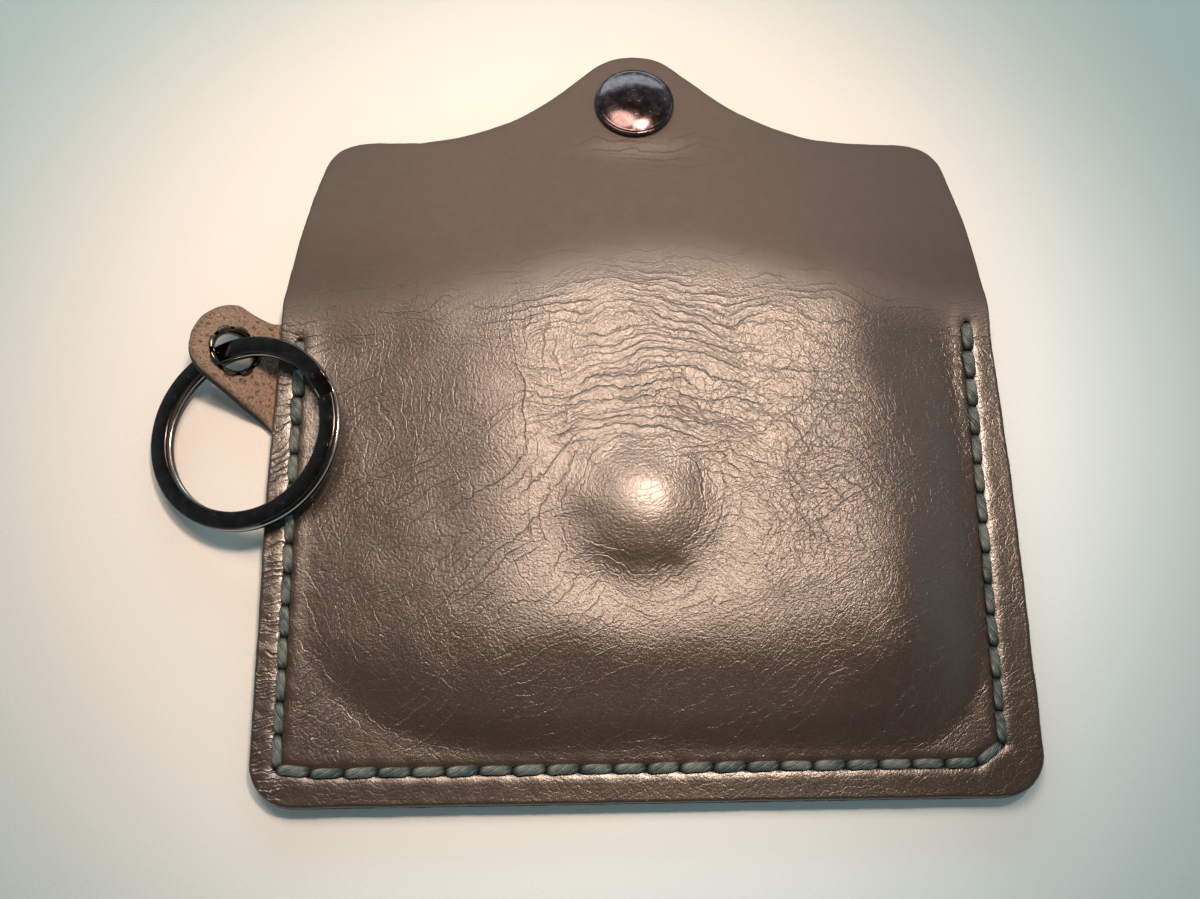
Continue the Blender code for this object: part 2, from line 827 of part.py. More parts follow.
def ring_path():
    """Two turns of the band: one below, a short climb, and one above, as angle and height."""
    step = ring_step_length / ring_middle_radius
    high = (ring_wire + ring_turn_gap) / 2
    end_gap = (ring_turn_gap + ring_wire) / ring_middle_radius
    start = math.radians(ring_step_degrees) + step / 2
    low_end = start + 2 * math.pi - step
    path = [(a, -high) for a in spread(start + end_gap / 2, low_end, ring_steps)]
    path += [(low_end + step * i / arc_steps, high * (2 * smooth(i / arc_steps) - 1))
             for i in range(1, arc_steps)]
    path += [(a, high) for a in spread(low_end + step, start + 4 * math.pi - step - end_gap / 2, ring_steps)]
    return path


def ring_section():
    """The band's section: a flat oblong with its edges broken."""
    x = ring_band / 2
    y = ring_wire / 2
    e = ring_edge
    quarter = [(x, y - e), (x - e, y)]
    half = quarter + [(-a, b) for a, b in reversed(quarter)]
    return half + [(-a, -b) for a, b in half]


def self_gap(path):
    """The least gap from the corners of the band to its edges more than a band away."""
    section = ring_section()
    edges = [[] for _ in section]
    for angle, height in path:
        for edge, (out, up) in zip(edges, section):
            radius = ring_middle_radius + out
            edge.append((angle, Vector((radius * math.cos(angle), radius * math.sin(angle), height + up))))
    apart = 2 * ring_step_length / ring_middle_radius
    least = ring_outer_radius
    for edge in edges:
        for (start_angle, start), (end_angle, end) in zip(edge, edge[1:]):
            for other in edges:
                for angle, point in other:
                    if angle - end_angle > apart and (point - end).length < ring_step_length:
                        foot, share = intersect_point_line(point, start, end)
                        foot = start.lerp(end, min(max(share, 0), 1))
                        least = min(least, (point - foot).length)
    return least


def make_ring():
    path = ring_path()
    print("split ring: least gap to itself", round(self_gap(path) * 1000, 2), "mm")
    profile = bpy.data.curves.new("ring_profile", "CURVE")
    profile.dimensions = "2D"
    profile.render_resolution_u = 0
    outline = profile.splines.new("POLY")
    section = ring_section()
    outline.points.add(len(section) - 1)
    for point, (x, y) in zip(outline.points, section):
        point.co = (x, y, 0, 1)
    outline.use_cyclic_u = True
    guide = bpy.data.objects.new("ring_profile", profile)
    cutters.objects.link(guide)
    guide.hide_render = True
    curve = bpy.data.curves.new("split_ring", "CURVE")
    curve.dimensions = "3D"
    curve.twist_mode = "Z_UP"
    curve.bevel_mode = "OBJECT"
    curve.bevel_object = guide
    curve.use_fill_caps = True
    curve.render_resolution_u = 0
    spline = curve.splines.new("POLY")
    spline.points.add(len(path) - 1)
    for point, (angle, height) in zip(spline.points, path):
        place = Vector((math.cos(angle), math.sin(angle), 0)) * ring_middle_radius - seat_vector
        point.co = (place.x, place.y, height, 1)
    mesh = mesh_of_curve("split_ring", curve)
    bpy.data.objects.remove(guide, do_unlink=True)
    smooth_faces(mesh)
    pivot = add_pivot("ring_pivot", eyelet_centre - Vector(tab_pivot.location), ring_turn)
    pivot.parent = tab_pivot
    return add_part("split_ring", mesh, dark_metal, pivot)


def build():
    back = make_panel("back_panel", fold_start_y - node_gap / 2, back_flesh,
                      nub_flat_radius, nub_radius, grain_leather)
    front = make_panel("front_panel", front_top_y, front_rest,
                       dome_roof_radius, dome_roof_radius + dome_slope, flesh_leather)
    make_fold_strip()
    slits = make_slit_cutter()
    cut(back, slits)
    cut(front, slits)
    cut(front, make_groove_cutter())
    stud_hole = cylinder_cutter("stud_hole", stud_post_radius + post_hole_clearance,
                                stud_seat - cut_overrun, dome_flesh + cut_overrun, stud_pivot)
    cut(front, stud_hole)
    make_thread("seam_thread_a", True)
    make_thread("seam_thread_b", False)
    make_flap()
    make_cap()
    make_cap_post()
    make_socket()
    make_spring()
    make_stud()
    make_stud_post()
    make_tab()
    make_eyelet()
    make_ring()


build()
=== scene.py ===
import json
import math

import bmesh
import bpy
import numpy as np
from mathutils import Matrix, Vector, kdtree, noise
from mathutils.geometry import delaunay_2d_cdt

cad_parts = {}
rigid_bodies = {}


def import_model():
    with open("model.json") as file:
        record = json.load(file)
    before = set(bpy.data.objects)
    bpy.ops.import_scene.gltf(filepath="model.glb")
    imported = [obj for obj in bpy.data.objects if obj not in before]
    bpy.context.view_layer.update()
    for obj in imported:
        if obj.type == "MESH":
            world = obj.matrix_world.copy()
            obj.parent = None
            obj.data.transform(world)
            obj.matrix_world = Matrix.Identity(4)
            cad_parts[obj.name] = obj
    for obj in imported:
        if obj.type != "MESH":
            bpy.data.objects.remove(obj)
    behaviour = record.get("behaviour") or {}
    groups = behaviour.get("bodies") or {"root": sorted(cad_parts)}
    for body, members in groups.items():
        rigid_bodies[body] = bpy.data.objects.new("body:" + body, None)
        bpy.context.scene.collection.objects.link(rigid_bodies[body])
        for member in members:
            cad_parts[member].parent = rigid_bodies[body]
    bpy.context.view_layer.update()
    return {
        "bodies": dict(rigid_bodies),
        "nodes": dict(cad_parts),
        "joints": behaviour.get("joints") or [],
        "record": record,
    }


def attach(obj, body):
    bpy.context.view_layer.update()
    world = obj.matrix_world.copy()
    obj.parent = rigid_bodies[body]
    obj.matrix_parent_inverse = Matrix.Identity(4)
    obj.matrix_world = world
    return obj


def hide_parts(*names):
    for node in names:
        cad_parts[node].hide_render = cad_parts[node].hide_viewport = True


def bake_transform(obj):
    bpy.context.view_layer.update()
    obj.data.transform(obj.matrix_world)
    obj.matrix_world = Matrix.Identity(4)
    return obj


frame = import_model()

mm = 0.001

# places shared by the pieces, as the solids have them, in metres and radians
wallet = {
    "leather": 1.5 * mm, "halfWidth": 50.0 * mm, "bottomY": -20.0 * mm, "nub": (-0.4 * mm, 17.3 * mm),
    "foldY": 47.3 * mm, "axisZ": 2.7443 * mm, "fleshOffset": 3.3443 * mm, "flapSlope": math.radians(4.7198),
    "snapReach": 30.1 * mm, "studY": 17.2 * mm, "tabX": -50.3 * mm, "tabTilt": math.radians(35.365),
    "eyelet": (-55.4621 * mm, 39.7587 * mm, 3.8738 * mm), "ring": (-52.8 * mm, 28.1 * mm, 4.5871 * mm),
    "ringTilt": math.radians(15),
}

# small tools


def smoothStep(value):
    value = np.clip(value, 0, 1)
    return value * value * (3 - 2 * value)


def bell(value):
    return np.exp(-value ** 2)


# smooth noise between -1 and 1 at points in metres, with features of the given size
def fieldNoise(points, size, seed=0.0):
    return np.array([noise.noise(Vector((x / size, y / size, seed))) for x, y in points])


def fromNub(x, y):
    return np.hypot(x - wallet["nub"][0], y - wallet["nub"][1])


# angles of even steps round a circle
def roundSteps(count):
    return np.linspace(0, 2 * math.pi, count, endpoint=False)


# directions to the left of the given ones, one unit long
def leftOf(run):
    run = run / np.linalg.norm(run, axis=1)[:, None]
    return np.stack([-run[:, 1], run[:, 0]], 1)


# the directions into an outline that runs anticlockwise
def inwardOf(outline):
    return leftOf(np.roll(outline, -1, 0) - np.roll(outline, 1, 0))


def pointTree(points):
    tree = kdtree.KDTree(len(points))
    for i, (x, y) in enumerate(points):
        tree.insert((x, y, 0), i)
    tree.balance()
    return tree


# how far each point is from the nearest one of a tree
def nearest(tree, points):
    return np.array([tree.find((x, y, 0))[2] for x, y in points])


def linkObject(name, data, *materials):
    item = bpy.data.objects.new(name, data)
    bpy.context.scene.collection.objects.link(item)
    for material in materials:
        data.materials.append(material)
    return item


# what a piece stands for and the body that it rides on
def settle(piece, node, body):
    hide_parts(node)
    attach(piece, body)


# numbers, or rows of three, at a mesh's points
def putAttribute(mesh, name, values):
    values = np.asarray(values, np.float32)
    kind, key = ("FLOAT", "value") if values.ndim == 1 else ("FLOAT_VECTOR", "vector")
    mesh.attributes.new(name, kind, "POINT").data.foreach_set(key, values.ravel())


# points at even steps along a polyline
def resample(points, spacing, closed=False):
    line = [Vector(p) for p in points] + ([Vector(points[0])] if closed else [])
    lengths = np.concatenate(([0], np.cumsum([(b - a).length for a, b in zip(line, line[1:])])))
    steps = np.linspace(0, lengths[-1], max(int(round(lengths[-1] / spacing)), 2) + 1)
    if closed:
        steps = steps[:-1]
    flat = np.array([p[:] for p in line])
    return np.stack([np.interp(steps, lengths, flat[:, i]) for i in range(flat.shape[1])], 1)


# a smooth open curve through the points
def roundCurve(points, steps=10):
    out = []
    padded = [points[0]] + list(points) + [points[-1]]
    for a, b, c, d in zip(padded, padded[1:], padded[2:], padded[3:]):
        a, b, c, d = (np.array(p, float) for p in (a, b, c, d))
        for t in np.linspace(0, 1, steps, endpoint=False):
            out.append(0.5 * (2 * b + (c - a) * t + (2 * a - 5 * b + 4 * c - d) * t ** 2
                              + (3 * b - a - 3 * c + d) * t ** 3))
    out.append(np.array(points[-1], float))
    return out


def cornerArc(centre, radius, start, end, count=10):
    return [(centre[0] + radius * math.cos(math.radians(a)), centre[1] + radius * math.sin(math.radians(a)))
            for a in np.linspace(start, end, count)]


# short calls that add nodes to a tree and join them
class Wires:
    def __init__(self, tree):
        self.tree = tree

    def fill(self, sockets, values):
        for key, value in values.items():
            if isinstance(value, bpy.types.NodeSocket):
                self.tree.links.new(value, sockets[key])
            elif value is not None:
                sockets[key].default_value = value

    # the outputs of a new node, whose inputs go by name or, in a tuple, by place
    def node(self, kind, inputs=(), **settings):
        item = self.tree.nodes.new(kind)
        for key, value in settings.items():
            setattr(item, key, value)
        self.fill(item.inputs, inputs if isinstance(inputs, dict) else dict(enumerate(inputs)))
        return item.outputs

    def math(self, kind, *values, clamp=False):
        return self.node("ShaderNodeMath", values, operation=kind, use_clamp=clamp)[0]

    def times(self, a, b):
        return self.math("MULTIPLY", a, b)

    def plus(self, a, b):
        return self.math("ADD", a, b)

    def minus(self, a, b):
        return self.math("SUBTRACT", a, b)

    # a times b, plus c
    def timesPlus(self, a, b, c):
        return self.math("MULTIPLY_ADD", a, b, c)

    def vector(self, kind, a, b=None):
        return self.node("ShaderNodeVectorMath", (a, b), operation=kind)[1 if kind == "LENGTH" else 0]

    def scaled(self, vector, scale):
        return self.node("ShaderNodeVectorMath", {"Vector": vector, "Scale": scale}, operation="SCALE")[0]

    # a place moved along another vector
    def pushed(self, vector, along, scale):
        return self.vector("ADD", vector, self.scaled(along, scale))

    def noise(self, vector, scale, detail=2.0, rough=0.5, output="Fac"):
        return self.node("ShaderNodeTexNoise", {"Vector": vector, "Scale": scale, "Detail": detail,
                                                "Roughness": rough})[output]

    def cells(self, vector, scale, feature, smooth=None):
        return self.node("ShaderNodeTexVoronoi", {"Vector": vector, "Scale": scale, "Smoothness": smooth},
                         feature=feature)["Distance"]

    def span(self, value, low, high, outLow=0.0, outHigh=1.0, shape="SMOOTHSTEP"):
        return self.node("ShaderNodeMapRange", (value, low, high, outLow, outHigh), interpolation_type=shape)[0]

    def mix(self, share, a, b):
        return self.node("ShaderNodeMix", {0: share, 6: a, 7: b}, data_type="RGBA")[2]

    def place(self, vector, scale, turn=0.0):
        return self.node("ShaderNodeMapping", {"Vector": vector, "Scale": scale, "Rotation": (0, 0, turn)})[0]

    def join(self, *values):
        return self.node("ShaderNodeCombineXYZ", values)[0]

    def split(self, vector):
        return self.node("ShaderNodeSeparateXYZ", (vector,))

    def attribute(self, name, output="Fac"):
        return self.node("ShaderNodeAttribute", attribute_name=name)[output]

    def group(self, tree, inputs):
        return self.node("ShaderNodeGroup", inputs, node_tree=tree)

    def bump(self, height, distance):
        return self.node("ShaderNodeBump", {"Height": height, "Distance": distance})[0]


# a shader group whose named inputs are numbers, or vectors where they start as None; build makes its outputs
def shaderGroup(name, build, inputs):
    tree = bpy.data.node_groups.new(name, "ShaderNodeTree")
    for key, start in inputs.items():
        kind = "NodeSocketVector" if start is None else "NodeSocketFloat"
        socket = tree.interface.new_socket(name=key, in_out="INPUT", socket_type=kind)
        if start is not None:
            socket.default_value = start
    w = Wires(tree)
    made = build(w, *w.node("NodeGroupInput")[:len(inputs)])
    for key in made:
        tree.interface.new_socket(name=key, in_out="OUTPUT", socket_type="NodeSocketFloat")
    w.fill(tree.nodes.new("NodeGroupOutput").inputs, made)
    return tree


# shared effects; their vectors and sizes are in millimetres

# how much of a crease is left where it breaks up in patches
def patchShare(w, vector, scale, level, amount, detail, soft):
    return w.times(w.span(w.noise(vector, scale, detail), level, w.plus(level, soft)), amount)


# a net of fine lines, broken up in patches
def buildCreaseNet(w, vector, width, patchVector, patchScale, patchLevel, amount):
    distance = w.cells(vector, 1.0, "DISTANCE_TO_EDGE")
    share = patchShare(w, patchVector, patchScale, patchLevel, amount, 3.0, 0.16)
    line = w.span(distance, 0.0, width, 1.0, 0.0)
    return {"Line": w.times(line, share), "Puff": w.times(w.span(distance, 0.0, 0.45), share)}


# long creases side by side, each with its own breaks
def buildCreaseRun(w, across, spacing, width, patchVector, patchScale, patchLevel, amount):
    place = w.math("DIVIDE", across, spacing)
    off = w.math("ABSOLUTE", w.minus(w.math("FRACT", place), 0.5))
    line = w.span(w.times(off, spacing), 0.0, width, 1.0, 0.0)
    lip = w.times(w.span(off, 0.08, 0.44, 1.0, 0.0), w.minus(1.0, line))
    own = w.join(0.0, 0.0, w.times(w.math("FLOOR", place), 17.3))
    share = patchShare(w, w.vector("ADD", patchVector, own), patchScale, patchLevel, amount, 2.0, 0.24)
    return {"Line": w.times(line, share), "Puff": w.times(lip, share)}


# the fine pebbled grain of the hide
def buildPebbleGrain(w, vector, size):
    scale = w.math("DIVIDE", 1.0, size)
    bent = w.pushed(vector, w.noise(vector, scale, 1.0, output="Color"), 0.35)
    pebble = w.cells(bent, scale, "SMOOTH_F1", 0.35)
    fine = w.noise(vector, w.times(scale, 2.3), 3.0, 0.6)
    return {"Height": w.plus(w.times(pebble, -0.75), w.times(fine, 0.9)), "Pore": w.span(pebble, 0.45, 0.75)}


# nap and loose fibres of a raw hide, as a tone and a height
def buildFibreFleck(w, vector, size):
    scale = w.math("DIVIDE", 1.0, size)
    bent = w.pushed(vector, w.noise(vector, w.times(scale, 0.4), 2.0, output="Color"), 1.4)
    thin = w.noise(w.place(bent, (1.0, 3.2, 1.0)), scale, 4.0, 0.7)
    cross = w.noise(w.place(bent, (3.0, 0.9, 1.0), 0.9), scale, 3.0, 0.7)
    tone = w.times(w.plus(thin, cross), 0.5)
    fleck = w.span(w.noise(bent, w.times(scale, 0.62), 2.0, 0.8), 0.54, 0.63)
    return {"Tone": tone, "Fleck": fleck, "Height": w.minus(tone, w.times(fleck, 0.2))}


# smudges and fine scratches on plated metal
def buildHandledPlate(w, vector, level):
    smudge = w.noise(vector, 0.7, 4.0, 0.6)
    one = w.noise(w.place(vector, (14, 0.7, 2), 0.5), 1.0, 2.0)
    two = w.noise(w.place(vector, (0.9, 12, 2), -0.3), 1.0, 2.0)
    scratch = w.math("MAXIMUM", w.span(one, 0.66, 0.72), w.span(two, 0.67, 0.73))
    return {"Smudge": smudge, "Scratch": w.times(scratch, w.span(smudge, level, 0.75))}


creaseNet = shaderGroup("creaseNet", buildCreaseNet, {
    "Vector": None, "Width": 0.1, "Patch Vector": None, "Patch Scale": 0.15, "Patch Level": 0.45, "Amount": 1.0})
creaseRun = shaderGroup("creaseRun", buildCreaseRun, {
    "Across": 0.0, "Spacing": 1.6, "Width": 0.16, "Patch Vector": None, "Patch Scale": 0.12, "Patch Level": 0.45,
    "Amount": 1.0})
pebbleGrain = shaderGroup("pebbleGrain", buildPebbleGrain, {"Vector": None, "Pebble Size": 0.5})
fibreFleck = shaderGroup("fibreFleck", buildFibreFleck, {"Vector": None, "Fibre Size": 0.25})
handledPlate = shaderGroup("handledPlate", buildHandledPlate, {"Vector": None, "Scratch Level": 0.5})

# finishes


# a material, its shader's inputs, its wires and its place in millimetres
def newFinish(name, values):
    material = bpy.data.materials.new(name)
    material.use_nodes = True
    w = Wires(material.node_tree)
    shader = material.node_tree.nodes["Principled BSDF"].inputs
    w.fill(shader, values)
    return material, shader, w, w.scaled(w.node("ShaderNodeTexCoord")["Object"], 1000.0)


grainLook = {
    "brown": (0.043, 0.025, 0.0150, 1), "light": (0.066, 0.038, 0.023, 1), "dark": (0.016, 0.0098, 0.0066, 1),
    "flap": (0.085, 0.050, 0.030, 1), "pit": (0.006, 0.006, 0.006, 1), "flapLightShare": 0.18, "shade": 0.55,
    "roughPocket": 0.295, "roughFlap": 0.80, "pressed": 0.050, "pebble": 0.38, "grainDepth": 0.044,
    "plainGrain": 0.38, "webDepth": 0.022, "puff": 0.42, "broadWarp": 8.0, "smallWarp": 1.15, "fullDepth": 0.045,
    "toneShare": 0.35, "lineShade": 0.50, "poreShade": 0.22, "lineRough": 0.12, "unevenRough": 0.08,
    "creases": {  # mask, spacing, width, patch level, patch scale and depth
        "arcs": ("arcCrease", 1.55, 0.16, 0.42, 0.12, 0.042),
        "fineArcs": ("foldCrease", 0.95, 0.12, 0.40, 0.15, 0.042 * 0.6),
        "folds": ("foldCrease", 1.40, 0.16, 0.36, 0.09, 0.044),
        "slants": ("slantCrease", 1.45, 0.14, 0.38, 0.13, 0.038),
        "crossing": ("crossCrease", 1.50, 0.14, 0.40, 0.15, 0.038 * 0.9),
        "upright": ("uprightCrease", 1.55, 0.15, 0.40, 0.10, 0.046),
        "margin": ("marginCrease", 1.15, 0.22, 0.38, 0.25, 0.060),
    },
}


def makeGrainLeather():
    look = grainLook
    material, shader, w, place = newFinish("grainLeather", {"IOR": 1.58, "Specular IOR Level": 1.0})
    half = (0.5, 0.5, 0.5)
    broad = w.vector("SUBTRACT", w.noise(place, 0.10, 1.0, output="Color"), half)
    small = w.vector("SUBTRACT", w.noise(place, 0.75, 2.0, output="Color"), half)
    warped = w.pushed(w.pushed(place, broad, look["broadWarp"]), small, look["smallWarp"])

    # long creases run round the nub, on a squarish ring
    away = w.vector("SUBTRACT", warped, (wallet["nub"][0] / mm, wallet["nub"][1] / mm, 0))
    radius = w.vector("LENGTH", w.vector("MULTIPLY", away, (0.75, 1.0, 0.0)))
    x, y = w.split(warped)[:2]

    # millimetres across creases that run at an angle to the X axis
    def across(angle):
        angle = math.radians(angle)
        return w.timesPlus(x, -math.sin(angle), w.times(y, math.cos(angle)))

    courses = {
        "arcs": radius, "fineArcs": w.timesPlus(w.split(small)[0], 0.9, radius),
        "folds": w.timesPlus(w.times(x, x), 0.0025, y), "slants": across(38), "crossing": across(-56),
        "upright": across(97), "margin": across(12),
    }
    layers = []
    for name, (mask, spacing, width, level, scale, depth) in look["creases"].items():
        layers.append((depth, w.group(creaseRun, {
            "Across": courses[name], "Spacing": spacing, "Width": width, "Amount": w.attribute(mask),
            "Patch Vector": place, "Patch Scale": scale, "Patch Level": level})))
    layers.insert(2, (look["webDepth"], w.group(creaseNet, {
        "Vector": w.place(warped, (0.84, 0.96, 0.0)), "Width": 0.090, "Amount": w.attribute("web"),
        "Patch Vector": place, "Patch Scale": 0.20, "Patch Level": 0.30})))
    grain = w.group(pebbleGrain, {"Vector": place, "Pebble Size": look["pebble"]})

    flapShare, shade = w.attribute("flapShare"), w.attribute("shade")
    plain = w.math("MAXIMUM", w.math("MAXIMUM", flapShare, w.attribute("nubShine")), shade)
    depth = look["grainDepth"]
    height = w.times(grain["Height"], w.span(plain, 0.0, 1.0, depth, depth * look["plainGrain"]))
    lines = 0.0
    for depth, layer in layers:
        height = w.timesPlus(layer["Line"], -depth, height)
        height = w.timesPlus(layer["Puff"], depth * look["puff"], height)
        lines = w.math("ADD", w.times(layer["Line"], depth / look["fullDepth"]), lines, clamp=True)

    tone = w.span(w.noise(place, 0.07, 4.0, 0.6), 0.3, 0.7)
    colour = w.mix(w.times(tone, look["toneShare"]), look["brown"], look["light"])
    # painted shade: creases and pores are darkened for the shade that falls in them
    marks = w.plus(w.times(lines, look["lineShade"]), w.times(grain["Pore"], look["poreShade"]))
    colour = w.mix(w.math("MULTIPLY", marks, 1.0, clamp=True), colour, look["dark"])
    # painted light: the flap is drawn in a lighter brown for the light and sheen that fall on it
    colour = w.mix(w.times(flapShare, look["flapLightShare"]), colour, look["flap"])
    colour = w.mix(w.times(shade, look["shade"]), colour, look["dark"])
    colour = w.mix(w.attribute("rim"), colour, look["dark"])
    pressed = w.timesPlus(shade, -look["pressed"], look["roughPocket"])
    rough = w.span(flapShare, 0.0, 1.0, pressed, look["roughFlap"])
    rough = w.plus(rough, w.times(w.noise(place, 0.5, 3.0), look["unevenRough"]))
    # the pit colour is painted shade in the stitch holes
    w.fill(shader, {"Base Color": w.mix(w.attribute("pit"), colour, look["pit"]),
                    "Roughness": w.timesPlus(lines, look["lineRough"], rough), "Normal": w.bump(height, 0.001)})
    return material


suedeLook = {"base": (0.195, 0.124, 0.088, 1), "light": (0.39, 0.265, 0.190, 1),
             "fleck": (0.040, 0.028, 0.023, 1)}


def makeFleshLeather():
    look = suedeLook
    material, shader, w, place = newFinish("fleshLeather", {
        "Roughness": 0.95, "Specular IOR Level": 0.15, "Sheen Weight": 0.25, "Sheen Roughness": 0.6})
    nap = w.group(fibreFleck, {"Vector": place, "Fibre Size": 0.34})
    colour = w.mix(w.span(nap["Tone"], 0.40, 0.60), look["base"], look["light"])
    colour = w.mix(w.times(nap["Fleck"], 0.85), colour, look["fleck"])
    colour = w.mix(w.times(w.attribute("rim"), 0.8), colour, look["fleck"])
    w.fill(shader, {"Base Color": colour, "Normal": w.bump(nap["Height"], 0.00030)})
    return material


edgeLook = {"base": (0.036, 0.031, 0.028, 1), "light": (0.105, 0.085, 0.070, 1)}


def makeCutEdge():
    material, shader, w, place = newFinish("cutEdge", {"Roughness": 0.85, "Specular IOR Level": 0.2})
    nap = w.group(fibreFleck, {"Vector": w.place(place, (1, 1, 2.4)), "Fibre Size": 0.22})
    colour = w.mix(w.span(nap["Tone"], 0.4, 0.62), edgeLook["base"], edgeLook["light"])
    w.fill(shader, {"Base Color": colour, "Normal": w.bump(nap["Height"], 0.00018)})
    return material


threadLook = {"teal": (0.028, 0.056, 0.062, 1), "grey": (0.150, 0.178, 0.168, 1), "pale": (0.47, 0.48, 0.42, 1),
              "dark": (0.010, 0.018, 0.020, 1)}


def makeWaxedThread():
    look = threadLook
    material, shader, w, place = newFinish("waxedThread", {"Roughness": 0.55, "Specular IOR Level": 0.4})
    along = w.attribute("threadPlace", "Vector")
    fibres = w.noise(w.vector("MULTIPLY", along, (0.50, 8.5, 1.0)), 1.0, 4.0, 0.70)
    tone = w.plus(fibres, w.timesPlus(w.noise(place, 0.35, 2.0), 0.5, -0.25))
    colour = w.mix(w.span(tone, 0.38, 0.58), look["teal"], look["grey"])
    colour = w.mix(w.times(w.span(fibres, 0.54, 0.64), 0.70), colour, look["pale"])
    # painted shade at the thread's ends in the holes
    colour = w.mix(w.attribute("threadEndShade"), colour, look["dark"])
    w.fill(shader, {"Base Color": colour, "Normal": w.bump(fibres, 0.00022)})
    return material


plateLook = {"scratch": (0.5, 0.45, 0.43, 1), "glint": (0.62, 0.60, 0.56, 1), "scratchShare": 0.35,
             "glintShare": 0.9, "smudgeRough": 0.09, "scratchRough": 0.15, "scratchDepth": 0.000012}


# plated metal: a dark base that smudges and scratches lighten
def makePlate(name, colour, tint, rough, level):
    look = plateLook
    material, shader, w, place = newFinish(name, {"Metallic": 1.0})
    handled = w.group(handledPlate, {"Vector": place, "Scratch Level": level})
    smudge, scratch = handled["Smudge"], handled["Scratch"]
    mixed = w.mix(w.span(smudge, 0.35, 0.7), (*colour, 1), (*tint, 1))
    mixed = w.mix(w.times(scratch, look["scratchShare"]), mixed, look["scratch"])
    # painted highlight: a pale colour along the edges marked edgeGlint
    mixed = w.mix(w.times(w.attribute("edgeGlint"), look["glintShare"]), mixed, look["glint"])
    rough = w.span(smudge, 0.3, 0.75, rough, rough + look["smudgeRough"])
    height = w.minus(w.times(smudge, 0.25), scratch)
    w.fill(shader, {"Base Color": mixed, "Normal": w.bump(height, look["scratchDepth"]),
                    "Roughness": w.plus(rough, w.times(scratch, look["scratchRough"]))})
    return material


grainLeather = makeGrainLeather()
fleshLeather = makeFleshLeather()
cutEdge = makeCutEdge()
waxedThread = makeWaxedThread()
ringPlate = makePlate("ringPlate", (0.045, 0.040, 0.041), (0.065, 0.056, 0.055), 0.13, 0.55)
capPlate = makePlate("capPlate", (0.070, 0.052, 0.056), (0.13, 0.095, 0.100), 0.13, 0.40)
eyeletPlate = makePlate("eyeletPlate", (0.085, 0.078, 0.070), (0.22, 0.165, 0.10), 0.20, 0.50)
innerPlate = makePlate("innerPlate", (0.36, 0.31, 0.24), (0.48, 0.42, 0.33), 0.28, 0.50)
print("finishes ready")

# surfaces of the leather, as heights in metres over the table

pocket = {
    "seamFlesh": 1.58 * mm, "belly": 5.2 * mm, "mouth": 6.1 * mm, "nubRise": 1.2 * mm, "seamWidth": 5.6 * mm,
    "flankLeft": 34 * mm, "flankRight": 18 * mm, "flankLean": 3 * mm, "foot": 1.6, "roundness": 2.6,
    "corner": 2.4, "bellyRise": 25 * mm, "uneven": 0.10, "mouthStart": 18 * mm, "mouthEnd": 62 * mm,
    "nubSpread": 6.4 * mm, "dent": 0.30 * mm, "dentRadius": 12 * mm, "dentWidth": 4.5 * mm, "ripple": 0.13 * mm,
    "sag": 1.7 * mm, "sagWidth": 13 * mm, "foldStart": 39.5 * mm, "foldEnd": 58.5 * mm,
}
# half widths of the back at heights over its lower edge, in millimetres
sideLine = ((0, 50), (40, 50), (66.3, 49.2), (69.5, 48.5), (77, 46.6), (85.4, 44.3), (110, 44.3))


def sideAt(y):
    return np.interp(y - wallet["bottomY"], *np.array(sideLine).T * mm)


def backFlesh(x, y):
    p = pocket
    height = y - wallet["bottomY"]
    mouthShare = smoothStep((height - p["mouthStart"]) / (p["mouthEnd"] - p["mouthStart"]))
    belly = p["belly"] + (p["mouth"] - p["belly"]) * mouthShare
    right = p["flankRight"] + p["flankLean"] * np.clip((height - 40 * mm) / (25 * mm), -1, 1)
    flank = p["flankLeft"] + (right - p["flankLeft"]) * smoothStep(x / (20 * mm) + 0.5)
    inner = (wallet["halfWidth"] - p["seamWidth"]) * np.minimum(sideAt(y) / wallet["halfWidth"], 1)
    side = np.clip(1 - (inner - np.abs(x)) / flank, 0, 1)
    low = np.clip(1 - (height - p["seamWidth"]) / (p["bellyRise"] - p["seamWidth"]), 0, 1)
    full = 1 - (side ** p["corner"] + low ** p["corner"]) ** (1 / p["corner"])
    full = full + p["uneven"] * np.sin(x / (9.0 * mm) + 2.2 * np.sin(y / (14 * mm))) * full * (1 - full)
    full = np.clip(full, 0, 1)
    z = p["seamFlesh"] + (belly - p["seamFlesh"]) * (1 - (1 - full ** p["foot"]) ** p["roundness"])
    distance = fromNub(x, y)
    z = z - p["dent"] * bell((distance - p["dentRadius"]) / p["dentWidth"])
    z = z + p["nubRise"] * np.exp(-(distance / p["nubSpread"]) ** 2.5)
    sag = p["sag"] * (x / wallet["halfWidth"]) ** 2 * bell((y - wallet["foldY"]) / p["sagWidth"])
    flat = p["mouth"] - (y - wallet["foldY"]) * math.tan(wallet["flapSlope"]) - sag
    return z + (flat - z) * smoothStep((y - p["foldStart"]) / (p["foldEnd"] - p["foldStart"]))


frontForm = {"dome": 3.65 * mm, "domeRadius": 5.9 * mm, "domeFoot": 4.6 * mm, "bend": 2.0 * mm,
             "droopStart": 8.4 * mm, "droopLength": 4.4 * mm, "droop": 0.75}


# the front panel's lower side: flat, with the dome that holds the stud, and the rising tab
def frontRest(x, y):
    f = frontForm
    z = f["dome"] * smoothStep(1 - (np.hypot(x, y - wallet["studY"]) - f["domeRadius"]) / f["domeFoot"])
    reach = np.maximum(wallet["tabX"] - x, 0)
    slope, bend = math.tan(wallet["tabTilt"]), f["bend"]
    tab = np.where(reach < bend, slope * reach ** 2 / (2 * bend), slope * (reach - bend / 2))
    return z + tab - slope * f["droop"] * np.maximum(reach - f["droopStart"], 0) ** 2 / f["droopLength"]


# the seam's holes, down the left side, along the bottom and up the right side

